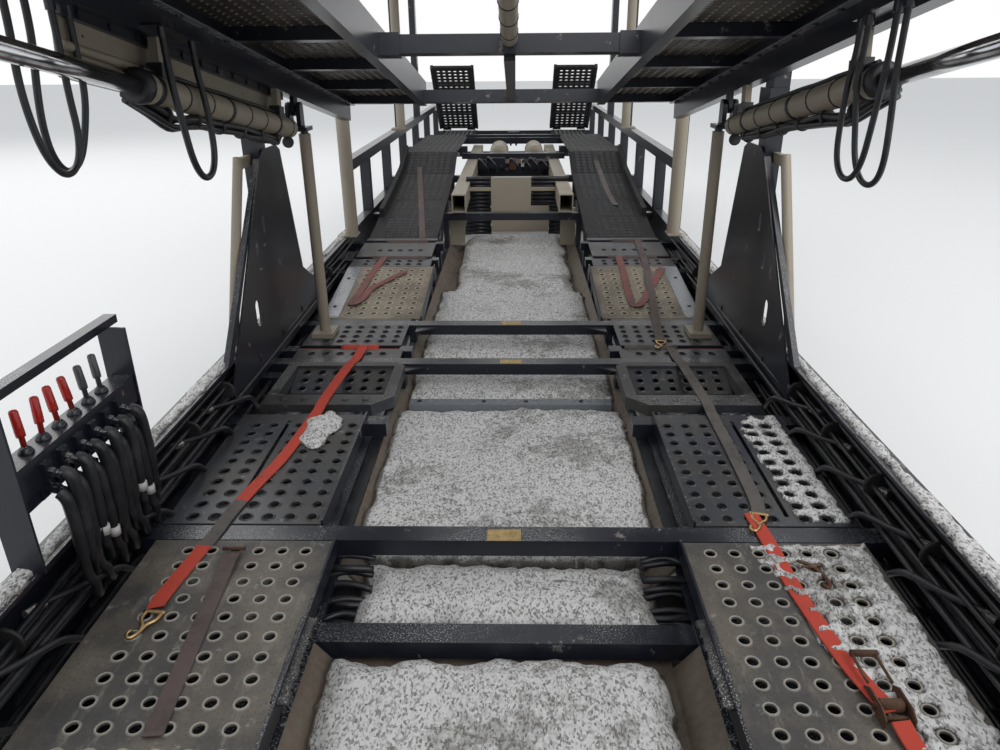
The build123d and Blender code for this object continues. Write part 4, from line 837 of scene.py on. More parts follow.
class TRAILER_OT_tail_ramps(bpy.types.Operator):
    """Makes the two folded tail ramps with their pressed sheets"""

    bl_idname = "trailer.tail_ramps"
    bl_label = "Tail Ramps"

    def execute(self, context):
        for side, body in ((LEFT, "ramp_left"), (RIGHT, "ramp_right")):
            shape = new_sheet()
            place = on_upper_deck(RAMP_PLANE, side)
            for low, high in ((0.575, 0.615), (1.155, 1.195)):
                add_block(shape, (low, 0.040, -0.030), (high, RAMP_LENGTH, 0.030), place)
            for at in (0.040, 0.400, 0.760, 1.120, 1.460):
                add_block(shape, (0.615, at, -0.020), (1.155, at + 0.040, 0.0135), place)

            def raised(u, v, w, place=place):
                return place(u, v, 0.020 + w)

            tile = hole_tile(RAMP_PITCH, 0.014, 0.003, 12, (1.7, 1.0), 1.4)
            add_pressed_plate(shape, tile, RAMP_PITCH, (0.6152, 1.1548), (0.040, RAMP_LENGTH), (0.685, 0.0925, 6, 20),
                              raised, "track_plate", ())
            axis = heading(place, 1, 0, 0)
            for start, end in ((0.640, 0.740), (1.030, 1.130)):
                add_block(shape, (start, 0.0, -0.010), (end, 0.0405, 0.010), place)
                add_turned(shape, place((start + end) / 2, 0.0, 0.0), axis,
                           disc(-0.050, 0.050, 0.013, 0.020), 20)
            for at in (0.25, 0.60, 0.95, 1.30):
                for u in (0.578, 1.192):
                    add_turned(shape, place(u, at, 0.030), heading(place, 0, 0, 1),
                               disc(-0.001, 0.005, 0.002, 0.010, 0.009), 6, smooth=False)
            node = "tail_" + body
            ramp = piece_from(shape, "folded_" + body, body, record_slot(node), "track_plate")
            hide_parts(node)
        return {"FINISHED"}


# Blank amber patches on the cross-members: station, first and last place across, and length
BLANK_PATCHES = ((2.046, -0.066, 0.046, 0.062), (3.558, -0.053, 0.061, 0.050), (4.16, -0.052, 0.060, 0.056))


class TRAILER_OT_deck_trim(bpy.types.Operator):
    """Makes the grit strips, the outer strips, the blank patches and the gussets of the lower deck"""

    bl_idname = "trailer.deck_trim"
    bl_label = "Deck Trim"

    def execute(self, context):
        shape = new_sheet()
        for side in (LEFT, RIGHT):
            seed = 5.0 + side

            def cover(u, v):
                edge = min(u - 0.530, 0.582 - u, v - 1.34, 1.65 - v) + 0.004 * rough(u, v, 60.0, seed)
                return lumpy(u, v, edge, 0.010, 0.004, 0.35, 130.0, seed)

            add_snow(shape, (0.526, 0.586), (1.335, 1.655), 0.0045, cover,
                     lambda u, v, w, side=side: Vector((side * u, station(v), deck_height(v) - 0.004 + w)))
        piece_from(shape, "grit_strips", "frame", "black_paint", "grit_coat")
        shape = bmesh.new()
        for side in (LEFT, RIGHT):
            place = on_lower_deck(side)
            add_block(shape, (1.052, 4.246, 0.0), (1.149, 5.084, 0.0022), place, BENDS)
            for at in (4.42, 4.87):
                add_turned(shape, place(1.105, at, 0.002), (0, 0, 1),
                           disc(-0.001, 0.0045, 0.003, 0.012, 0.010), 12, 1)
        piece_from(shape, "outer_strips", "frame", "beige_deck", "strip_paint", "rusty_steel")
        shape = bmesh.new()
        for at, low, high, length in BLANK_PATCHES:
            add_block(shape, (low, at - length / 2, -0.001), (high, at + length / 2, 0.0012), on_lower_deck(LEFT))
        piece_from(shape, "blank_patches", "frame", "black_paint", "blank_amber")
        shape = bmesh.new()
        for side in (LEFT, RIGHT):
            for at in (3.565, 4.16):
                add_plate(shape, on_lower_deck(side), ((0.555, at - 0.04), (0.43, at - 0.04), (0.555, at - 0.12)),
                          -0.020, -0.012)
        piece_from(shape, "beam_gussets", "frame", "black_paint", "black_paint")
        return {"FINISHED"}


# Brake valves by the axles: lower and upper corner from the front, and finish
BRAKE_VALVES = (
    ((-0.40, 0.855), (-0.31, 0.955), 0), ((-0.30, 0.865), (-0.09, 0.975), 0), ((-0.045, 0.850), (0.035, 0.960), 1),
    ((0.090, 0.880), (0.125, 0.950), 2), ((0.17, 0.860), (0.26, 0.965), 0), ((0.29, 0.850), (0.40, 0.940), 0),
)


class TRAILER_OT_bay_fittings(bpy.types.Operator):
    """Makes the black sheets of painted shade below the bay and beside the middle plates, the upright shield and the
    bellows, the brake valves and the hoses in the bay beside the pan
    """

    bl_idname = "trailer.bay_fittings"
    bl_label = "Bay Fittings"

    def execute(self, context):
        shape = bmesh.new()
        for side in (LEFT, RIGHT):
            # The flat black sheets under the bay and in the gap beside the middle plates are painted shade where the
            # ground would show
            add_block(shape, (0.46, station(1.60), 0.352), (0.70, station(2.09), 0.356), mirrored(side))
            add_block(shape, (0.425, station(6.60), 0.470), (0.560, station(6.61), 0.799), mirrored(side), finish=1)
            add_block(shape, (0.556, station(2.06), 0.498), (0.640, station(2.97), 0.502), mirrored(side))
        for x0, x1 in ((-0.44, -0.205), (0.345, 0.52)):
            for index in range(15):
                z = 0.470 + 0.036 * index
                wave = 0.006 * sin(index * 2.4)
                x0 = 0.178 if x1 > 0 and z > 0.73 else x0
                add_tube(shape, ((x0 + wave, station(7.13), z), (x1 + wave, station(7.13), z)), 0.021, 10)
        piece_from(shape, "shade_sheets_shield_and_bellows", "frame", "hose_rubber", "hose_rubber", "beige_paint")
        shape = bmesh.new()
        for low, high, finish in BRAKE_VALVES:
            add_block(shape, (low[0], station(8.60), low[1]), (high[0], station(8.72), high[1]), finish=finish)
            add_tube(shape, smooth_path(((low[0] + 0.02, station(8.60), high[1] - 0.02),
                                         (low[0] + 0.03, station(8.50), high[1] + 0.02),
                                         (low[0] + 0.10, station(8.46), high[1] - 0.05),
                                         (low[0] + 0.13, station(8.50), 0.84)), 5), 0.011)
        add_block(shape, (-0.40, station(8.72), 0.420), (0.40, station(8.735), 0.905))
        for x in (-0.035, 0.035):
            add_block(shape, (x - 0.012, station(10.02), 0.955), (x + 0.012, station(10.05), 1.115))
        add_block(shape, (-0.075, station(10.015), 1.105), (0.075, station(10.055), 1.125))
        piece_from(shape, "brake_valves", "frame", "black_paint", "black_paint", "rusty_steel", "wheel_paint")
        shape = bmesh.new()
        for side in (LEFT, RIGHT):
            for index in range(9):
                seed = index * 1.7 + side
                z = 0.375 + 0.016 * index + 0.006 * sin(seed * 3)
                at = 1.79 + 0.029 * index + 0.012 * sin(seed * 5)
                path = ((side * 0.44, station(at), z), (side * 0.52, station(at + 0.012 * sin(seed)), z + 0.012),
                        (side * 0.60, station(at + 0.02 * sin(seed * 2)), z + 0.004),
                        (side * 0.69, station(at), z + 0.010))
                add_tube(shape, smooth_path(path, 4), 0.0095 + 0.003 * abs(sin(seed)))
        piece_from(shape, "bay_hoses", "frame", "hose_rubber", "hose_rubber")
        return {"FINISHED"}


# Tracks over the axles: reach by station, first row, rows, columns and first column of holes
TRACK_PITCH = (0.0635, 0.0635)
TRACKS = (
    ((5.85, 6.36), 5.90, 7, 6, 0.705), ((6.36, 6.82), 6.405, 6, 5, 0.765), ((6.82, 7.62), 6.87, 12, 7, 0.665),
    ((7.62, 8.09), 7.665, 7, 7, 0.665), ((8.09, 10.34), 8.14, 34, 7, 0.665), ((10.34, 10.9), 10.40, 8, 7, 0.665),
    ((10.9, 12.56), 10.95, 25, 7, 0.665),
)


class TRAILER_OT_axle_tracks(bpy.types.Operator):
    """Makes the tracks over the axles and along the tail"""

    bl_idname = "trailer.axle_tracks"
    bl_label = "Axle Tracks"

    def execute(self, context):
        shape = new_sheet()
        for side in (LEFT, RIGHT):
            place = on_lower_deck(side)
            for reach, first_row, rows, columns, column in TRACKS:
                tile = hole_tile(TRACK_PITCH, 0.0145, 0.007, 8, flare=1.4, rounded=False)
                add_pressed_plate(shape, tile, TRACK_PITCH, (0.59, 1.14), reach, (column, first_row, columns, rows),
                                  place, "track_plate")
            add_block(shape, (0.584, 5.85, -SHEET), (0.59, 8.09, 0.035), place, BENDS)
            add_block(shape, (1.10, 6.36, 0.0), (1.14, 8.09, 0.07), place, BENDS)
        piece = piece_from(shape, "over_axle_tracks", "frame", "worn_black_deck", "track_plate")
        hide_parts("axle_tracks")
        return {"FINISHED"}


class TRAILER_OT_upper_sheets(bpy.types.Operator):
    """Makes the pressed track sheets of the three upper decks"""

    bl_idname = "trailer.upper_sheets"
    bl_label = "Upper Sheets"

    def execute(self, context):
        slot_pitch, dimple_pitch = (0.062, 0.033), (0.047, 0.047)
        inner, outer, low = UPPER_SHEET
        seam = inner + 0.126
        for name, node, body, deck in (
                ("front_deck_sheets", "front_platform_tracks", "front_platform", FRONT_DECK),
                ("rear_deck_sheets", "rear_platform_tracks", "rear_platform", REAR_DECK),
                ("neck_deck_sheets", "upper_neck_tracks", "frame", NECK_DECK)):
            shape = new_sheet()
            start, end = deck[3:]
            for side in (LEFT, RIGHT):
                flat = on_upper_deck(deck, side)

                def hung(u, v, w, flat=flat):
                    return flat(u, v, low - w)

                rows = int((end - start - 0.01) / slot_pitch[1])
                tile = hole_tile(slot_pitch, 0.0085, 0.002, 8, (2.6, 1.0), 1.3, rounded=False)
                add_pressed_plate(shape, tile, slot_pitch, (inner, seam), (start, end),
                                  (inner + 0.0325, start + 0.0215, 2, rows), hung, "upper_sheet")
                rows = int((end - start - 0.01) / dimple_pitch[1])
                tile = dimple_tile(dimple_pitch, 0.0125, 0.0055)
                add_pressed_plate(shape, tile, dimple_pitch, (seam, outer), (start, end),
                                  (seam + 0.025, start + 0.0285, 8, rows), hung, "upper_sheet")
            piece = piece_from(shape, name, body, record_slot(node), "upper_sheet")
            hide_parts(node)
        return {"FINISHED"}


def bank(distance, width):
    """0 at an edge, 1 from width on, smooth between."""
    share = max(0.0, min(1.0, distance / width))
    return share * share * (3 - 2 * share)


def rough(u, v, scale, seed):
    """Noise from -1 to 1 at a place."""
    return noise.noise(Vector((u * scale + seed, v * scale, seed * 1.7)))


def add_snow(shape, span, reach, step, cover, place, fade=0.004):
    """A lumpy layer wherever cover(u, v), its depth, is above zero. It looks wet where it is thinner than fade."""
    thin = shape.verts.layers.float["bare"]
    columns = max(1, round((span[1] - span[0]) / step))
    rows = max(1, round((reach[1] - reach[0]) / step))
    depth = {}
    for i in range(columns + 1):
        for j in range(rows + 1):
            u = span[0] + (span[1] - span[0]) * i / columns
            v = reach[0] + (reach[1] - reach[0]) * j / rows
            depth[i, j] = (u, v, cover(u, v))
    cells = {(i, j) for i in range(columns) for j in range(rows)
             if min(depth[i, j][2], depth[i + 1, j][2], depth[i, j + 1][2], depth[i + 1, j + 1][2]) > 0}
    verts = {}

    def vert(i, j, top):
        if (i, j, top) not in verts:
            u, v, w = depth[i, j]
            verts[i, j, top] = shape.verts.new(place(u, v, max(w, 0.002) if top else 0.0))
            verts[i, j, top][thin] = 1.0 - bank(w, fade)
        return verts[i, j, top]

    for i, j in cells:
        top = shape.faces.new([vert(a, b, True) for a, b in ((i, j), (i + 1, j), (i + 1, j + 1), (i, j + 1))])
        top.smooth = True
        shape.faces.new([vert(a, b, False) for a, b in ((i, j + 1), (i + 1, j + 1), (i + 1, j), (i, j))])
        for beside, a, b in (((i, j - 1), (i, j), (i + 1, j)), ((i + 1, j), (i + 1, j), (i + 1, j + 1)),
                             ((i, j + 1), (i + 1, j + 1), (i, j + 1)), ((i - 1, j), (i, j + 1), (i, j))):
            if beside not in cells:
                shape.faces.new((vert(*a, False), vert(*b, False), vert(*b, True), vert(*a, True)))


def lumpy(u, v, edge, depth, width, lumps, scale, seed):
    """Depth of a layer at a place: nothing outside its edge, full depth from width inside it, and lumps of noise."""
    return depth * bank(edge, width) * (1.0 + lumps * rough(u, v, scale, seed)) if edge > 0 else 0.0


# The belly pan's flat half width, and the half width and height of its upper edges
PAN_HALF, PAN_EDGE, PAN_RISE = 0.486, 0.56, 0.094


def pan_floor(u):
    """How far the pan's surface lies above its flat middle."""
    return max(0.0, min(1.0, (abs(u) - PAN_HALF) / (PAN_EDGE - PAN_HALF))) * PAN_RISE


# Slabs of frozen slush on the belly pan: name, width, reach by station, share of the full depth, seed
PAN_SLABS = (
    ("slush_pan_front", (-0.52, 0.46), (-0.42, 1.655), 1.0, 3.0),
    ("slush_pan_bay", (-0.485, 0.475), (1.775, 2.10), 1.0, 11.0),
    ("slush_pan_middle", (-0.61, 0.60), (2.12, 3.30), 0.98, 17.0),
    ("slush_pan_flaps", (-0.56, 0.57), (3.36, 3.90), 0.88, 23.0),
    ("slush_pan_rear", (-0.54, 0.54), (3.92, 5.30), 0.9, 31.0),
    ("slush_pan_end", (-0.44, 0.47), (5.26, 6.965), 0.8, 41.0),
)


# Spacing of the points of the slush on the pan and of the snow on the plates, and how far from a hole's middle it stops
PAN_SLUSH_STEP, PLATE_SNOW_STEP = 0.0145, 0.0095
SNOW_HOLE_RADIUS = 0.0185


class TRAILER_OT_pan_slush(bpy.types.Operator):
    """Makes the slabs of frozen slush on the belly pan"""

    bl_idname = "trailer.pan_slush"
    bl_label = "Pan Slush"

    def execute(self, context):
        full = context.scene.trailer_sizes.slush_depth
        for name, span, reach, share, seed in PAN_SLABS:
            shape = new_sheet()

            def cover(u, v):
                edge = min(u - span[0], span[1] - u, v - reach[0], reach[1] - v)
                edge += 0.035 * rough(u, v, 7.0, seed) + 0.018 * rough(u, v, 26.0, seed) + 0.012
                swell = 1.0 + 0.16 * rough(u, v, 4.0, seed + 5) + 0.05 * rough(u, v, 40.0, seed)
                level = full * share * swell * (0.5 * bank(edge, 0.03) + 0.5 * bank(edge, 0.11))
                level += 0.048 * bank(v - 6.45, 0.40) * bank(edge, 0.10)
                return level - pan_floor(u) if edge > 0 else 0.0

            add_snow(shape, (max(span[0] - 0.03, -0.556), min(span[1] + 0.03, 0.556)),
                     (reach[0] - 0.03, reach[1] + 0.03), PAN_SLUSH_STEP, cover,
                     lambda u, v, w: Vector((u, station(v), PAN_Z + pan_floor(u) - 0.0015 + w)), 0.075)
            piece_from(shape, name, "frame", None, "slush")
        return {"FINISHED"}


class TRAILER_OT_pan_stiffener(bpy.types.Operator):
    """Makes the bolted stiffener across the belly pan"""

    bl_idname = "trailer.pan_stiffener"
    bl_label = "Pan Stiffener"

    def execute(self, context):
        shape = bmesh.new()
        add_block(shape, (-0.50, station(3.30), 0.392), (0.50, station(3.365), 0.462))
        for x in (-0.45, -0.13, 0.08, 0.353):
            add_turned(shape, (x, station(3.335), 0.462), (0, 0, 1),
                       disc(-0.001, 0.006, 0.001, 0.011, 0.010), 6, 1, False)
        piece_from(shape, "pan_stiffener", "frame", "bare_steel", "strip_paint", "black_paint")
        return {"FINISHED"}


def hole_edge(u, v, holes):
    """How far a place lies outside the nearest hole of a field, or 1 past its last column."""
    column, row, columns = holes[:3]
    across = (u - column) / DECK_PITCH
    along = (v - row) / DECK_PITCH
    if across > columns - 0.5:
        return 1.0
    return ((across - round(across)) ** 2 + (along - round(along)) ** 2) ** 0.5 * DECK_PITCH - SNOW_HOLE_RADIUS


class TRAILER_OT_plate_snow(bpy.types.Operator):
    """Makes the snow on the plates and along the tops of the rails"""

    bl_idname = "trailer.plate_snow"
    bl_label = "Plate Snow"

    def execute(self, context):
        shape = new_sheet()

        def near_cover(u, v):
            inner = (0.90 + 0.05 * rough(u, v, 5.0, 2.0) - 0.10 * bank(v - 1.7, 0.3)
                     - 0.07 * bank(0.25 - abs(v - 1.60), 0.2))
            edge = min(u - inner, 1.15 - u, 2.0 - v) + 0.02 * rough(u, v, 30.0, 4.0)
            thin = 0.5 + 0.5 * bank(v - 0.4, 0.9) + 0.9 * rough(u, v, 9.0, 7.0)
            edge = min(edge, hole_edge(u, v, NEAR_HOLES) + 0.006 * rough(u, v, 20.0, 9.0), thin * 0.05)
            deep = 0.013 + 0.006 * bank(0.30 - abs(v - 1.62), 0.2)
            return lumpy(u, v, edge, deep, 0.02, 0.5, 45.0, 1.0)

        def middle_cover(u, v):
            edge = min(u - 0.985 - 0.03 * rough(u, v, 6.0, 3.0), 1.165 - u, v - 2.12, 2.93 - v)
            edge = min(edge + 0.015 * rough(u, v, 30.0, 4.0),
                       hole_edge(u, v, OUTER_HOLES) + 0.012 * rough(u, v, 9.0, 6.0))
            return lumpy(u, v, edge, 0.014, 0.02, 0.5, 45.0, 1.0)

        def lift(u, v, w):
            return Vector((u, station(v), deck_height(v) - 0.0005 + w))

        add_snow(shape, (0.74, 1.16), (0.0, 2.02), PLATE_SNOW_STEP, near_cover, lift)
        add_snow(shape, (0.95, 1.17), (2.10, 2.94), PLATE_SNOW_STEP, middle_cover, lift)
        piece_from(shape, "slush_left_plates", "frame", None, "slush")
        shape = new_sheet()

        def lump(u, v):
            spread = ((u + 0.80) / 0.085) ** 2 + ((v - 2.80) / 0.17) ** 2
            edge = 1.0 - spread + 0.7 * rough(u, v, 14.0, 5.0)
            return lumpy(u, v, edge, 0.024, 0.8, 0.4, 50.0, 2.0)

        add_snow(shape, (-0.95, -0.66), (2.60, 3.0), PLATE_SNOW_STEP, lump,
                 lambda u, v, w: Vector((u, station(v), 0.588 + w)))
        piece_from(shape, "slush_right_lump", "frame", None, "slush")
        shape = new_sheet()
        for side, seed in ((LEFT, 6.0), (RIGHT, 12.0)):
            def ridge(u, v):
                edge = min(u - 1.226, 1.29 - u) + 0.016 * rough(u, v, 4.0, seed) + 0.008 * rough(u, v, 28.0, seed)
                edge -= 0.02 * bank(0.35 + 0.9 * rough(u, v, 0.7, seed + 3), 0.5) * (1 if side == RIGHT else 0.2)
                return lumpy(u, v, edge, 0.016, 0.02, 0.6, 30.0, seed)

            add_snow(shape, (1.222, 1.294), (-0.5, 5.6), 0.012, ridge,
                     lambda u, v, w, side=side: Vector((side * u, station(v), 0.8095 + w)))
        piece_from(shape, "slush_rail_tops", "frame", None, "slush")
        return {"FINISHED"}


def on_deck(x, at, rise=0.003):
    """A point that far above the lower deck or its tracks."""
    return (x, station(at), deck_height(at) + rise)


# Tie-down straps: name, finish, flap that carries it past the hinge, and points (from the middle, station, rise)
STRAPS = (
    ("strap_right_new", "strap_orange", "flap_right",
     ((-0.953, 2.228, 0.006), (-0.928, 2.37, 0.006), (-0.892, 2.551, 0.006), (-0.857, 2.93, 0.008),
      (-0.850, 3.02, 0.018), (-0.835, 3.24, 0.022), (-0.816, 3.476, 0.020), (-0.806, 3.56, 0.010),
      (-0.800, 3.70, 0.010), (-0.798, 3.745, 0.016))),
    ("strap_right_new_middle", "strap_grey", None,
     ((-0.983, 1.962, 0.0045), (-0.972, 2.055, 0.005), (-0.965, 2.14, 0.0065), (-0.952, 2.235, 0.0065))),
    ("strap_right_new_end", "strap_orange", None,
     ((-1.005, 1.672, 0.012), (-1.012, 1.70, 0.008), (-1.008, 1.77, 0.006), (-0.997, 1.86, 0.005),
      (-0.982, 1.97, 0.006))),
    ("strap_right_loose", "strap_brown", None,
     ((-0.874, 1.94, 0.006), (-0.872, 1.88, 0.014), (-0.868, 1.80, 0.006), (-0.858, 1.66, 0.004),
      (-0.846, 1.523, 0.004), (-0.834, 1.37, 0.004), (-0.822, 1.24, 0.005))),
    ("strap_right_folded", "strap_faded", None,
     ((-0.932, 5.30, 0.010), (-0.936, 5.20, 0.006), (-0.955, 5.00, 0.005), (-0.980, 4.70, 0.005),
      (-1.004, 4.47, 0.006), (-0.985, 4.43, 0.016), (-0.950, 4.52, 0.010), (-0.917, 4.686, 0.009),
      (-0.825, 4.83, 0.009), (-0.735, 4.97, 0.009))),
    ("strap_right_track", "strap_brown", None,
     ((-0.700, 5.75, 0.012), (-0.715, 5.85, 0.006), (-0.751, 6.15, 0.006), (-0.835, 6.83, 0.006),
      (-0.909, 7.42, 0.006), (-0.950, 7.75, 0.006))),
    ("strap_left_track", "strap_grey", None,
     ((0.852, 7.87, 0.006), (0.872, 7.64, 0.006), (0.881, 7.15, 0.006), (0.899, 6.80, 0.006), (0.915, 6.63, 0.008))),
    ("strap_left_long", "strap_brown", None,
     ((0.978, 5.75, 0.012), (0.968, 5.60, 0.006), (0.946, 5.175, 0.006), (0.915, 4.80, 0.010), (0.892, 4.518, 0.010),
      (0.862, 4.20, 0.006), (0.839, 3.98, 0.005), (0.826, 3.83, 0.006))),
    ("strap_left_folded", "strap_faded", None,
     ((0.775, 5.30, 0.010), (0.772, 5.20, 0.006), (0.765, 4.90, 0.005), (0.757, 4.60, 0.005), (0.760, 4.44, 0.006),
      (0.785, 4.40, 0.016), (0.830, 4.48, 0.010), (0.890, 4.64, 0.008), (0.960, 4.82, 0.008), (1.041, 5.03, 0.009))),
    ("strap_left_flat", "strap_grey", "flap_left",
     ((0.862, 3.73, 0.008), (0.865, 3.58, 0.010), (0.869, 3.476, 0.020), (0.885, 3.10, 0.020), (0.887, 3.00, 0.018),
      (0.889, 2.92, 0.008), (0.889, 2.685, 0.006), (0.885, 2.45, 0.006), (0.878, 2.25, 0.006), (0.862, 2.16, 0.008))),
    ("strap_left_new", "strap_orange", None,
     ((0.835, 2.165, 0.010), (0.842, 2.10, 0.006), (0.846, 2.055, 0.005), (0.850, 1.955, 0.006),
      (0.855, 1.786, 0.005), (0.871, 1.60, 0.010), (0.888, 1.473, 0.012), (0.906, 1.385, 0.016),
      (0.923, 1.316, 0.024))),
    ("strap_left_tail", "strap_orange", None,
     ((0.930, 1.29, 0.022), (0.938, 1.232, 0.010), (0.955, 1.10, 0.006), (0.985, 0.92, 0.005), (1.02, 0.72, 0.005),
      (1.05, 0.55, 0.006), (1.075, 0.42, 0.004))),
)
# A strap's wire hook: points and radius of each wire
HOOK_WIRES = (
    (((-0.024, 0.0, 0.0), (-0.022, 0.030, 0.0), (-0.006, 0.052, 0.0), (0.0, 0.085, 0.0), (0.014, 0.105, 0.0),
      (0.028, 0.094, 0.0), (0.026, 0.076, 0.0)), 0.0055),
    (((0.024, 0.0, 0.0), (0.022, 0.030, 0.0), (0.006, 0.052, 0.0), (-0.002, 0.070, 0.002)), 0.0055),
    (((-0.032, 0.0, 0.0), (0.0, 0.0, 0.001), (0.032, 0.0, 0.0)), 0.006),
)


def add_hook(shape, x, at, turned):
    """A strap's wire hook lying on the deck, turned by so many degrees from the rear towards the left."""
    turn = Matrix.Rotation(radians(-turned), 3, "Z")
    base = Vector(on_deck(x, at, 0.010))
    for points, radius in HOOK_WIRES:
        add_tube(shape, smooth_path([base + turn @ Vector(point) for point in points], 4), radius)


# Webbing wound on the rolls: side, station, reach across and finish
ROLLS = (
    (LEFT, 3.76, 0.62, 0.90, 1), (RIGHT, 3.76, 0.72, 0.92, 0), (LEFT, 5.305, 0.70, 1.05, 2),
    (RIGHT, 5.305, 0.62, 1.02, 2), (LEFT, 5.75, 0.78, 1.02, 2), (RIGHT, 5.75, 0.66, 0.98, 2),
)


class TRAILER_OT_straps(bpy.types.Operator):
    """Makes the tie-down straps, their hooks, buckle and ratchet, and the webbing on the rolls"""

    bl_idname = "trailer.straps"
    bl_label = "Straps"

    def execute(self, context):
        width = context.scene.trailer_sizes.strap_width
        for name, finish, flap, points in STRAPS:
            shape = bmesh.new()
            path = [on_deck(*point) for point in points]
            add_strap(shape, path, width)
            strap = piece_from(shape, name, None if flap else "frame", "strap_webbing", finish)
            if flap:
                x = sum(point[0] for point in points) / len(points)
                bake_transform(strap, "frame", flap, start=(x, station(FLAP_HINGE - 0.05), 0.60),
                         end=(x, station(FLAP_HINGE + 0.05), 0.60))
        shape = bmesh.new()
        for side, at, low, high, finish in ROLLS:
            rings = []
            for step in range(9):
                bulge = 0.0012 * (step % 2) + 0.0022 * abs(sin(step * 1.9 + at))
                rings.append((side * (low + (high - low) * step / 8), 0.0275 + bulge))
            profile = [(rings[0][0], 0.004)] + rings + [(rings[-1][0], 0.004)]
            add_turned(shape, (0.0, station(at), deck_height(at) - 0.015), (1, 0, 0), profile, 14, finish)
        rolls = piece_from(shape, "strap_roll_webbing", "frame", "strap_webbing", "strap_orange", "strap_grey",
                           "strap_brown")
        rolls.data.uv_layers.new(name="UVMap")
        shape = bmesh.new()
        add_hook(shape, -1.002, 1.655, 186.0)
        add_hook(shape, 0.862, 2.16, 196.0)
        add_hook(shape, 0.826, 3.83, 190.0)
        piece_from(shape, "strap_hooks", "frame", "bare_steel", "hook_brass")
        shape = bmesh.new()
        for x, at, spread in ((-0.874, 1.945, 0.036), (0.925, 1.305, 0.030), (0.93, 1.34, 0.030)):
            add_tube(shape, (on_deck(x - spread, at, 0.016), on_deck(x + spread, at, 0.016)), 0.006)
        for x in (0.893, 0.963):
            profile = ((1.285, 0.002), (1.395, 0.002), (1.40, 0.022), (1.375, 0.040), (1.31, 0.044), (1.283, 0.030))
            add_plate(shape, lambda v, w, u: on_deck(u, v, w), profile, x - 0.002, x + 0.002)
        add_turned(shape, on_deck(0.890, 1.335, 0.024), (1, 0, 0),
                   ((0.0, 0.001), (0.0, 0.010), (0.010, 0.010), (0.012, 0.017), (0.064, 0.017), (0.066, 0.010),
                    (0.076, 0.010), (0.076, 0.001)), 14)
        handle = ((0.900, 1.40, 0.030), (0.897, 1.45, 0.034), (0.897, 1.49, 0.036))
        for offset in (0.0, 0.060):
            add_tube(shape, smooth_path([on_deck(x + offset, at, rise) for x, at, rise in handle], 3), 0.004, 6)
        add_tube(shape, (on_deck(0.893, 1.492, 0.036), on_deck(0.962, 1.492, 0.036)), 0.009)
        for points in (((0.903, 1.905, 0.010), (0.925, 1.885, 0.016), (0.944, 1.865, 0.014), (0.957, 1.84, 0.012)),
                       ((0.957, 1.84, 0.012), (0.962, 1.80, 0.012), (0.950, 1.775, 0.012), (0.938, 1.79, 0.014)),
                       ((0.905, 1.875, 0.010), (0.935, 1.87, 0.016), (0.972, 1.885, 0.012))):
            add_tube(shape, smooth_path([on_deck(*point) for point in points], 4), 0.006)
        piece_from(shape, "ratchet_and_buckle", "frame", "bare_steel", "rusty_steel")
        return {"FINISHED"}


# Hydraulic hoses that hang in loops under the front deck: radius, length and route
HOSE_LOOPS = {
    "hose_loop_right_outer": (0.009, 1.01, (
        (1.036, -2.656, 2.153), (1.036, -2.656, 2.085), (1.030, -2.669, 1.985), (1.042, -2.664, 1.872),
        (1.054, -2.648, 1.745), (1.058, -2.591, 1.688), (1.058, -2.511, 1.690), (1.053, -2.455, 1.748),
        (1.042, -2.443, 1.860), (1.027, -2.440, 1.975), (1.035, -2.440, 2.055), (1.035, -2.440, 2.117))),
    "hose_loop_right_inner": (0.009, 0.97, (
        (1.036, -2.600, 2.144), (1.036, -2.600, 2.076), (1.026, -2.612, 1.975), (1.020, -2.606, 1.862),
        (1.017, -2.592, 1.752), (1.016, -2.536, 1.697), (1.016, -2.458, 1.699), (1.018, -2.402, 1.756),
        (1.021, -2.390, 1.868), (1.025, -2.388, 1.975), (1.035, -2.388, 2.050), (1.035, -2.388, 2.108))),
    "hose_loop_left_outer": (0.009, 0.87, (
        (-1.124, -2.880, 2.175), (-1.124, -2.880, 2.100), (-1.136, -2.892, 1.985), (-1.146, -2.890, 1.885),
        (-1.152, -2.865, 1.810), (-1.155, -2.808, 1.765), (-1.153, -2.740, 1.790), (-1.146, -2.704, 1.860),
        (-1.128, -2.695, 1.955), (-1.125, -2.699, 2.055), (-1.125, -2.699, 2.145))),
    "hose_loop_left_inner": (0.009, 0.89, (
        (-1.124, -2.960, 2.189), (-1.124, -2.960, 2.115), (-1.129, -2.970, 2.000), (-1.123, -2.966, 1.890),
        (-1.118, -2.941, 1.812), (-1.116, -2.884, 1.768), (-1.117, -2.816, 1.792), (-1.121, -2.780, 1.862),
        (-1.128, -2.774, 1.958), (-1.125, -2.774, 2.060), (-1.125, -2.774, 2.158))),
    "hose_loop_left_rear": (0.011, 0.94, (
        (-1.034, -2.370, 2.105), (-1.034, -2.370, 2.045), (-1.023, -2.382, 1.955), (-1.013, -2.377, 1.845),
        (-1.008, -2.357, 1.735), (-1.006, -2.300, 1.675), (-1.006, -2.222, 1.679), (-1.010, -2.166, 1.738),
        (-1.016, -2.152, 1.842), (-1.023, -2.154, 1.935), (-1.034, -2.156, 2.010), (-1.034, -2.156, 2.070))),
}


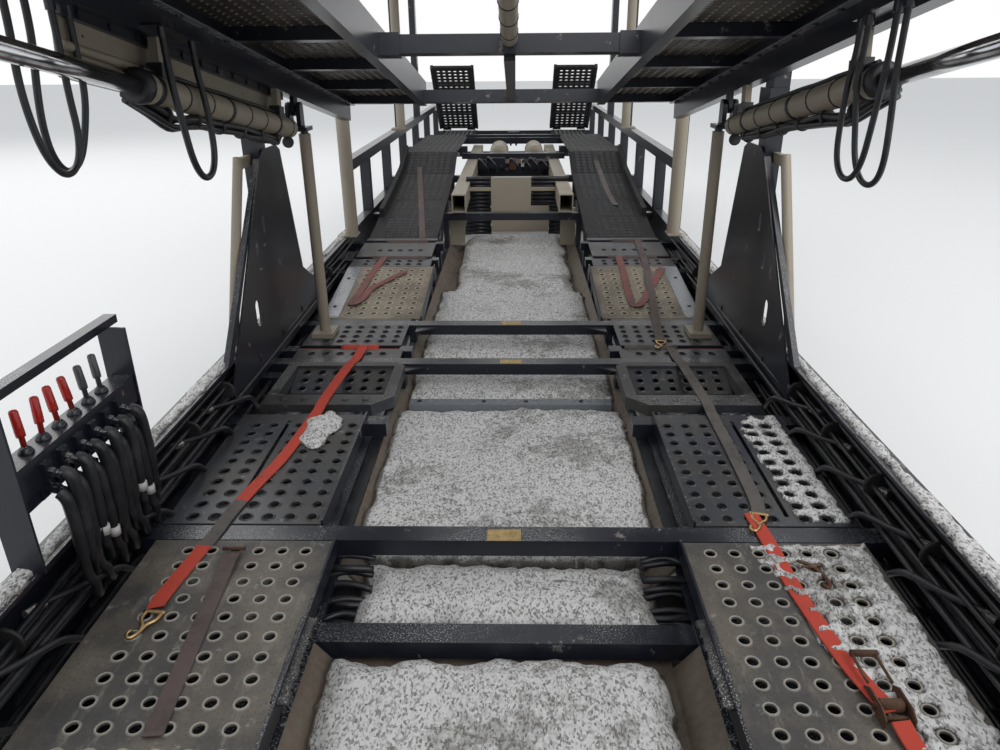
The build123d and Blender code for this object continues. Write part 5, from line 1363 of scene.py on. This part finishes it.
class TRAILER_OT_hose_loops(bpy.types.Operator):
    """Makes the hydraulic hoses that hang under the front deck"""

    bl_idname = "trailer.hose_loops"
    bl_label = "Hose Loops"

    def execute(self, context):
        for node, (radius, length, route) in HOSE_LOOPS.items():
            line = bpy.data.curves.new(node.replace("hose_loop", "hanging_hose"), "CURVE")
            line.dimensions = "3D"
            line.bevel_depth = radius
            line.bevel_resolution = 4
            line.resolution_u = 12
            line.use_fill_caps = True
            spline = line.splines.new("NURBS")
            spline.points.add(len(route) - 1)
            for point, place in zip(spline.points, route):
                point.co = (*place, 1.0)
            spline.order_u = 3
            spline.use_endpoint_u = True
            line.materials.append(FINISHES["hose_rubber"])
            hose = bpy.data.objects.new(line.name, line)
            context.collection.objects.link(hose)
            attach(hose, "front_platform")
            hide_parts(node)
        return {"FINISHED"}


def wavy(start, end, sway, count, seed):
    """Points from start to end that wander a little from the straight line."""
    points = []
    for index in range(count + 1):
        share = index / count
        calm = min(1.0, 4 * share, 4 * (1 - share))
        drift = Vector((rough(share * 3, seed, 1.3, seed), 0.0, rough(seed, share * 3, 1.3, seed + 9)))
        points.append(Vector(start).lerp(Vector(end), share) + drift * sway * calm)
    return points


# Hoses along the side rails: place from the middle, height and radius
RAIL_LINES = (
    (1.250, 0.450, 0.013), (1.222, 0.462, 0.011), (1.262, 0.490, 0.012), (1.234, 0.503, 0.010), (1.196, 0.444, 0.012),
    (1.262, 0.690, 0.010), (1.246, 0.712, 0.009), (1.266, 0.740, 0.011), (1.228, 0.672, 0.010), (1.256, 0.655, 0.012),
    (1.205, 0.652, 0.009),
)
COUPLING_PROFILE = ((0.0, 0.006), (0.0, 0.013), (0.022, 0.013), (0.024, 0.015), (0.040, 0.015), (0.042, 0.0115),
                    (0.060, 0.0115), (0.060, 0.006))


class TRAILER_OT_rail_hoses(bpy.types.Operator):
    """Makes the bundles of hoses and cables inside the side rails, with their ties and couplings"""

    bl_idname = "trailer.rail_hoses"
    bl_label = "Rail Hoses"

    def execute(self, context):
        for side, name in ((LEFT, "rail_hoses_left"), (RIGHT, "rail_hoses_right")):
            shape = bmesh.new()
            for index, (x, z, radius) in enumerate(RAIL_LINES):
                seed = 3.1 * index + (7 if side == LEFT else 19)
                end = 5.4 + 0.2 * (index % 4) if z > 0.6 else 7.4
                path = wavy((side * x, station(-0.48), z), (side * x, station(end), z), 0.030, 34, seed)
                for point in path:
                    point.x = side * min(abs(point.x), 1.272)
                add_tube(shape, smooth_path(path, 3), radius)
            for index in range(9):
                at = 0.55 + 0.30 * index
                drop = ((side * 1.262, station(at - 0.20), 0.700), (side * 1.21, station(at - 0.08), 0.672),
                        (side * 1.165, station(at + 0.03), 0.650), (side * 1.178, station(at + 0.14), 0.560),
                        (side * 1.222, station(at + 0.26), 0.492))
                add_tube(shape, smooth_path(drop, 6), 0.011)
            piece_from(shape, name, "frame", "hose_rubber", "hose_rubber")
            shape = bmesh.new()
            for index in range(18):
                at = -0.1 + 0.38 * index
                for x, z, radius in ((1.240, 0.470, 0.040), (1.250, 0.700, 0.046)):
                    if z > 0.6 and at > 5.2:
                        continue
                    add_turned(shape, (side * x, station(at), z), (0, 1, 0),
                               disc(-0.004, 0.004, radius - 0.010, radius), 12)
            piece_from(shape, name.replace("hoses", "ties"), "frame", "hose_rubber", "flap_rubber")
            shape = bmesh.new()
            for index in range(9):
                at = 0.55 + 0.30 * index
                centre = Vector((side * 1.262, station(at - 0.235), 0.706))
                add_turned(shape, centre, (-0.28 * side, 0.9, -0.2), COUPLING_PROFILE, 6, smooth=False)
            piece_from(shape, name.replace("hoses", "couplings"), "frame", "bare_steel", "bare_steel")
        return {"FINISHED"}


# Valve bank: stations of the levers, and profiles of a lever's sleeve and boot and of a hose union
VALVE_STATIONS = [1.66 + 0.076 * index for index in range(6)]
SLEEVE_PROFILE = ((0.0, 0.001), (0.0, 0.0075), (0.045, 0.0075), (0.047, 0.012), (0.060, 0.0125), (0.115, 0.0115),
                  (0.120, 0.009), (0.1225, 0.001))
BOOT_PROFILE = ((-0.004, 0.004), (-0.004, 0.020), (0.004, 0.020), (0.012, 0.016), (0.020, 0.009), (0.020, 0.004))
UNION_PROFILE = ((-0.02, 0.004), (-0.02, 0.016), (0.012, 0.016), (0.014, 0.012), (0.030, 0.012), (0.030, 0.004))


class TRAILER_OT_valve_bank(bpy.types.Operator):
    """Makes the lever sleeves, the valve bodies and their hoses on the right side rail"""

    bl_idname = "trailer.valve_bank"
    bl_label = "Valve Bank"

    def execute(self, context):
        sleeves = bmesh.new()
        valves = bmesh.new()
        for index, at in enumerate(VALVE_STATIONS):
            foot = Vector((-1.24, station(at), 1.110))
            lean = Vector((-0.06 + 0.03 * sin(index * 2.1), 0.10 * sin(index * 1.3 + 0.4), 1.0))
            finish = 0 if index < 4 else 1
            add_turned(sleeves, foot, lean, SLEEVE_PROFILE, 14, finish)
            add_turned(valves, foot, (0, 0, 1), BOOT_PROFILE, 14)
        sleeves = piece_from(sleeves, "lever_sleeves", "frame", "red_plastic", "lever_red", "lever_grey")
        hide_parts("valve_levers")
        for index, at in enumerate(VALVE_STATIONS):
            y = station(at)
            add_block(valves, (-1.272, y - 0.031, 0.985), (-1.207, y + 0.031, 1.105))
            add_block(valves, (-1.207, y - 0.017, 1.030), (-1.190, y + 0.017, 1.085))
            for z in (1.004, 1.052):
                add_turned(valves, (-1.190, y, z), (1, 0, -0.25), UNION_PROFILE, 6, smooth=False)
        piece_from(valves, "valve_bodies", "frame", "black_paint", "black_paint")
        shape = bmesh.new()
        tags = bmesh.new()
        for index, at in enumerate(VALVE_STATIONS):
            for z, out, low in ((1.052, 0.0, 0.66), (1.004, -0.012, 0.60)):
                y = station(at) + (0.012 if z > 1.02 else -0.014)
                sway = 0.008 * sin(index * 2.3 + z * 9)
                path = ((-1.172, y, z - 0.004), (-1.152 + out, y, z - 0.012), (-1.143 + out, y + sway * 0.4, z - 0.045),
                        (-1.143 + out, y + sway, z - 0.16), (-1.146 + out, y + sway * 1.5, z - 0.27),
                        (-1.158, y + 0.02 + sway, low + 0.09), (-1.190, y + 0.07, low + 0.01),
                        (-1.245, y + 0.18, low - 0.03))
                path = smooth_path(path, 6)
                radii = [0.0175 if point.z > z - 0.21 else 0.0135 for point in path]
                add_tube(shape, path, radii, 10)
                if (index + round(z * 10)) % 3 == 0:
                    add_turned(tags, (-1.1432 + out, y + sway, z - 0.235), (0, 0, 1),
                               disc(-0.014, 0.014, 0.008, 0.0165), 12)
        piece_from(shape, "valve_hoses", "frame", "hose_rubber", "hose_rubber")
        piece_from(tags, "blank_hose_tags", "frame", "bare_steel", "wheel_paint")
        return {"FINISHED"}


def add_band(shape, place, at, radius, half=0.004, rise=0.003):
    """A tie round a tube that runs along the second direction of a placing function."""
    centre = place(*at)
    axis = place(at[0], at[1] + 1.0, at[2]) - centre
    add_turned(shape, centre, axis, disc(-half, half, radius - 0.006, radius + rise))


# Cylinders under the front deck: place from the middle, and height above the deck's plane
CYLINDER_X, CYLINDER_Z = 1.090, -0.104


class TRAILER_OT_cylinder_dressing(bpy.types.Operator):
    """Makes the rods, ties and hoses of the front deck's cylinders, the skirt's edges and the girders' strips"""

    bl_idname = "trailer.cylinder_dressing"
    bl_label = "Cylinder Dressing"

    def execute(self, context):
        shape = bmesh.new()
        for side in (LEFT, RIGHT):
            place = on_upper_deck(FRONT_DECK, side)
            for index in range(8):
                at = -1.58 + 0.195 * index
                add_band(shape, place, (CYLINDER_X, at, CYLINDER_Z), 0.046, 0.004 if index % 3 else 0.014)
            path = [place(CYLINDER_X + 0.004 * sin(k * 1.7), -1.62 + 0.1 * k, CYLINDER_Z + 0.056) for k in range(15)]
            add_tube(shape, smooth_path(path, 3), 0.008)
            add_band(shape, place, (CYLINDER_X, -1.655, CYLINDER_Z), 0.040, 0.016, 0.012)
            add_block(shape, (1.066, -1.535, -0.062), (1.114, -1.465, -0.020), place)
            add_block(shape, (1.066, -0.355, -0.062), (1.114, -0.285, -0.020), place)
        place = on_upper_deck(FRONT_DECK, LEFT)
        for index in range(8):
            add_band(shape, place, (0.0, -2.45 + 0.26 * index, 0.237), 0.036)
        piece_from(shape, "front_cylinder_ties", "front_platform", "hose_rubber", "hose_rubber")
        shape = bmesh.new()
        place = on_upper_deck(FRONT_DECK, RIGHT)
        add_block(shape, (1.112, -1.955, -0.1215), (1.1465, -0.112, -0.1185), place)
        add_block(shape, (1.112, -1.955, -0.1185), (1.115, -0.112, -0.105), place)
        add_block(shape, (1.1185, -1.955, 0.030), (1.1395, -0.112, 0.064), place, finish=1)
        for index in range(12):
            at = -1.88 + 0.157 * index
            for across, way in ((1.1455, 1), (1.1185, -1)):
                add_turned(shape, place(across, at, 0.045), heading(place, way, 0, 0),
                           disc(-0.001, 0.006, 0.003, 0.011, 0.010), 6, 1, False)
        add_tube(shape, (place(1.1335, -1.952, -0.040), place(1.1335, -0.115, -0.040)), 0.0125, 12)
        for at, heights in ((-1.83, (0.0,)), (-1.45, (0.006, -0.008)), (-1.10, (0.004, -0.010)), (-0.62, (0.0,))):
            for z in heights:
                add_turned(shape, place(1.1402, at, z), heading(place, -1, 0, 0),
                           disc(-0.001, 0.0012, 0.001, 0.004), 8, 1, False)
        piece_from(shape, "skirt_edges", "front_platform", "beige_paint", "beige_paint", "black_paint")
        shape = bmesh.new()
        bolts = bmesh.new()
        for side in (LEFT, RIGHT):
            place = on_upper_deck(FRONT_DECK, side)
            add_tube(shape, (place(CYLINDER_X, -1.672, CYLINDER_Z), place(CYLINDER_X, -2.440, CYLINDER_Z)), 0.0268, 20)
            add_block(bolts, (1.044, -4.60, 0.1475), (1.0795, 1.25, 0.1515), place)
            for index in range(28):
                add_turned(bolts, place(1.062, -4.45 + 0.205 * index, 0.1475), heading(place, 0, 0, -1),
                           disc(-0.001, 0.007, 0.002, 0.0115, 0.0105), 6, 1, False)
        piece_from(shape, "chromed_rods", "front_platform", "chrome_rod", "rod_chrome")
        piece_from(bolts, "girder_strips", "front_platform", "bare_steel", "strip_paint", "black_paint")
        shape = bmesh.new()
        for side in (LEFT, RIGHT):
            place = on_upper_deck(FRONT_DECK, side)
            for index in range(4):
                path = []
                for k in range(16):
                    at = -1.66 + 0.099 * k
                    drift = 0.010 * rough(k * 0.35, index, 1.0, 3.0 + side)
                    tuck = 0.060 * bank(abs(k - 7.5) - 5.5, 2.0)
                    sag = 0.164 + 0.019 * (index // 2) + drift + 0.022 * bank(-1.2 - at, 0.3)
                    path.append(place(1.078 + 0.021 * (index % 2) + drift + tuck * 0.6, at, tuck - sag))
                add_tube(shape, smooth_path(path, 3), 0.0105)
            for index in range(7):
                add_band(shape, place, (1.089, -1.50 + 0.22 * index, -0.172), 0.027, 0.004, 0.001)
        piece_from(shape, "tied_hoses", "front_platform", "hose_rubber", "hose_rubber")
        return {"FINISHED"}


# Wheels: stations of the axles, height of the wheel centres, middle of the outer tyre and the twin's pitch
AXLES = (8.15, 9.395)
TYRE_R, TYRE_X, TWIN_PITCH = 0.400, 1.176, 0.268
TYRE_PROFILE = ((-0.098, 0.232), (-0.106, 0.245), (-0.113, 0.270), (-0.1158, 0.302), (-0.1155, 0.318), (-0.113, 0.345),
                (-0.1085, 0.368), (-0.1070, 0.374), (-0.0925, 0.392), (-0.0870, 0.396), (-0.0800, 0.3985))
GROOVES = (-0.060, -0.021, 0.021, 0.060)


def round_the_axle(count, radius, turn=0.0):
    """Ways from the axle to evenly spaced places round it."""
    angles = [2 * pi * (index + turn) / count for index in range(count)]
    return [Vector((0, cos(angle), sin(angle))) * radius for angle in angles]


# Profiles of a wheel nut with its washer, the rim of a hand hole and the hub cap
NUT_PROFILE = ((-0.002, 0.002), (-0.002, 0.015), (0.006, 0.0155), (0.007, 0.0125), (0.024, 0.0120), (0.027, 0.004))
HOLE_RIM = ((0.0, 0.0215), (0.0035, 0.0225), (0.0035, 0.0262), (0.0, 0.0275))
CAP_PROFILE = ((-0.001, 0.004), (-0.001, 0.074), (0.010, 0.073), (0.014, 0.062), (0.032, 0.058), (0.040, 0.048),
               (0.042, 0.012))


class TRAILER_OT_wheels(bpy.types.Operator):
    """Makes the ribbed tyres and the wheel discs with their nuts and hub caps"""

    bl_idname = "trailer.wheels"
    bl_label = "Wheels"

    def execute(self, context):
        profile = list(TYRE_PROFILE)
        for middle in GROOVES:
            profile += [(middle - 0.0055, 0.3998), (middle - 0.0040, 0.3890), (middle + 0.0040, 0.3890),
                        (middle + 0.0055, 0.3998)]
        profile += [(-along, radius) for along, radius in reversed(TYRE_PROFILE)]
        for number, at in enumerate(AXLES, 1):
            for side, word in ((LEFT, "left"), (RIGHT, "right")):
                body = f"wheels_{number}_{word}"
                shape = bmesh.new()
                for middle in (TYRE_X, TYRE_X - TWIN_PITCH):
                    centre = Vector((side * middle, station(at), TYRE_R))
                    add_turned(shape, centre, (1, 0, 0), profile, 72)
                tyres = piece_from(shape, f"ribbed_tyres_{number}_{word}", body, "tyre", "tyre_rubber")
                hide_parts(f"tyres_axle_{number}_{word}")
                shape = bmesh.new()
                centre = Vector((side * 1.056, station(at), TYRE_R))
                out = Vector((side, 0, 0))
                for arm in round_the_axle(10, 0.1125):
                    add_turned(shape, centre + arm, out, NUT_PROFILE, 6, 1, False)
                # A flat black rubber disc fills each hand hole inside its rim: painted shade for the dark space behind
                # the hole
                for arm in round_the_axle(8, 0.158, 0.5):
                    add_turned(shape, centre + arm, out, disc(-0.002, 0.0015, 0.002, 0.0225), 18, 2)
                    add_turned(shape, centre + arm, out, HOLE_RIM, 18)
                add_turned(shape, (side * 1.162, station(at), TYRE_R), out, CAP_PROFILE, 24, 3)
                centre = Vector((side * 1.172, station(at), TYRE_R))
                for arm in round_the_axle(6, 0.067):
                    add_turned(shape, centre + arm, out, disc(-0.001, 0.004, 0.001, 0.005), 6, 3, False)
                piece_from(shape, f"wheel_nuts_{number}_{word}", body, "wheel_steel", "wheel_paint", "rusty_steel",
                           "hose_rubber", "axle_paint")
        return {"FINISHED"}


class TRAILER_OT_stage(bpy.types.Operator):
    """Makes the pale floor, the light and the photograph's camera"""

    bl_idname = "trailer.stage"
    bl_label = "Stage"

    def execute(self, context):
        bpy.ops.mesh.primitive_plane_add(size=120.0)
        floor = context.object
        floor.name = "stage_floor"
        Finish("stage_ground").set(Base_Color=(0.80, 0.80, 0.79), Roughness=0.9)
        floor.data.materials.append(FINISHES["stage_ground"])
        world = bpy.data.worlds.new("Overcast")
        world.use_nodes = True
        context.scene.world = world
        tree = world.node_tree
        tree.nodes.clear()
        kinds = ("Background", "Background", "LightPath", "Math", "Math", "MixShader", "OutputWorld")
        sky, seen, path, either, any_ray, blend, output = (tree.nodes.new("ShaderNode" + kind) for kind in kinds)
        for node, colour, strength in ((sky, (0.93, 0.96, 1.0, 1.0), 0.75), (seen, (1.0, 1.0, 1.0, 1.0), 1.0)):
            node.inputs["Color"].default_value = colour
            node.inputs["Strength"].default_value = strength
        either.operation = any_ray.operation = "MAXIMUM"
        for start, end in ((path.outputs["Is Camera Ray"], either.inputs[0]),
                           (path.outputs["Is Glossy Ray"], either.inputs[1]),
                           (either.outputs[0], any_ray.inputs[0]),
                           (path.outputs["Is Transmission Ray"], any_ray.inputs[1]),
                           (any_ray.outputs[0], blend.inputs[0]), (sky.outputs[0], blend.inputs[1]),
                           (seen.outputs[0], blend.inputs[2]), (blend.outputs[0], output.inputs["Surface"])):
            tree.links.new(start, end)
        for name, place, turn, size, power in (
                ("key", (6.0, -10.0, 12.0), (35.0, 12.0, 20.0), 14.0, 1500.0),
                ("fill", (-9.0, 8.0, 11.0), (-38.0, -20.0, 0.0), 14.0, 700.0)):
            light = bpy.data.lights.new(name, "AREA")
            light.size = size
            light.energy = power
            lamp = bpy.data.objects.new(name, light)
            lamp.location = place
            lamp.rotation_euler = [radians(angle) for angle in turn]
            context.collection.objects.link(lamp)
        lens = bpy.data.cameras.new("camera")
        lens.lens = LENS
        lens.sensor_width = 36.0
        camera = bpy.data.objects.new("camera", lens)
        turn = (Matrix.Rotation(radians(EYE_YAW), 4, "Z") @ Matrix.Rotation(radians(90.0 - EYE_PITCH), 4, "X")
                @ Matrix.Rotation(radians(EYE_ROLL), 4, "Z"))
        camera.matrix_world = Matrix.Translation(EYE) @ turn
        context.collection.objects.link(camera)
        context.scene.camera = camera
        context.scene.view_settings.view_transform = "Standard"
        return {"FINISHED"}


class TRAILER_OT_paint(bpy.types.Operator):
    """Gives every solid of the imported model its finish"""

    bl_idname = "trailer.paint"
    bl_label = "Paint"

    def execute(self, context):
        make_finishes(context)
        for part in frame["record"]["subparts"]:
            solid = NODES[part["node"]]
            solid.data.materials.clear()
            finish = NODE_FINISHES.get(part["node"], SLOT_FINISHES.get(part["material_slot"], "black_paint"))
            solid.data.materials.append(FINISHES[finish])
        return {"FINISHED"}


OPERATORS = (TRAILER_OT_stage, TRAILER_OT_paint, TRAILER_OT_deck_plates, TRAILER_OT_axle_tracks,
             TRAILER_OT_upper_sheets, TRAILER_OT_deck_flaps, TRAILER_OT_tail_ramps, TRAILER_OT_deck_trim,
             TRAILER_OT_bay_fittings, TRAILER_OT_pan_slush, TRAILER_OT_pan_stiffener, TRAILER_OT_plate_snow,
             TRAILER_OT_straps, TRAILER_OT_hose_loops, TRAILER_OT_rail_hoses, TRAILER_OT_valve_bank,
             TRAILER_OT_cylinder_dressing, TRAILER_OT_wheels)


class TRAILER_PT_panel(bpy.types.Panel):
    """Lists the trailer's pieces and sizes"""

    bl_idname = "TRAILER_PT_panel"
    bl_label = "Trailer"
    bl_space_type = "VIEW_3D"
    bl_region_type = "UI"
    bl_category = "Trailer"

    def draw(self, context):
        column = self.layout.column()
        for operator in OPERATORS:
            column.operator(operator.bl_idname)
        for group in (context.scene.trailer_sizes, context.scene.trailer_colours):
            for name in group.__annotations__:
                column.prop(group, name)


CLASSES = (TrailerSizes, TrailerColours, *OPERATORS, TRAILER_PT_panel)


def register():
    """Registers the classes and the two groups of settings."""
    for item in CLASSES:
        bpy.utils.register_class(item)
    bpy.types.Scene.trailer_sizes = bpy.props.PointerProperty(type=TrailerSizes)
    bpy.types.Scene.trailer_colours = bpy.props.PointerProperty(type=TrailerColours)


def unregister():
    """Undoes register."""
    del bpy.types.Scene.trailer_colours
    del bpy.types.Scene.trailer_sizes
    for item in reversed(CLASSES):
        bpy.utils.unregister_class(item)


def main():
    """Makes the stage, the finishes and the pieces."""
    register()
    for operator in OPERATORS:
        group, name = operator.bl_idname.split(".")
        getattr(getattr(bpy.ops, group), name)()


if __name__ == "__main__":
    main()
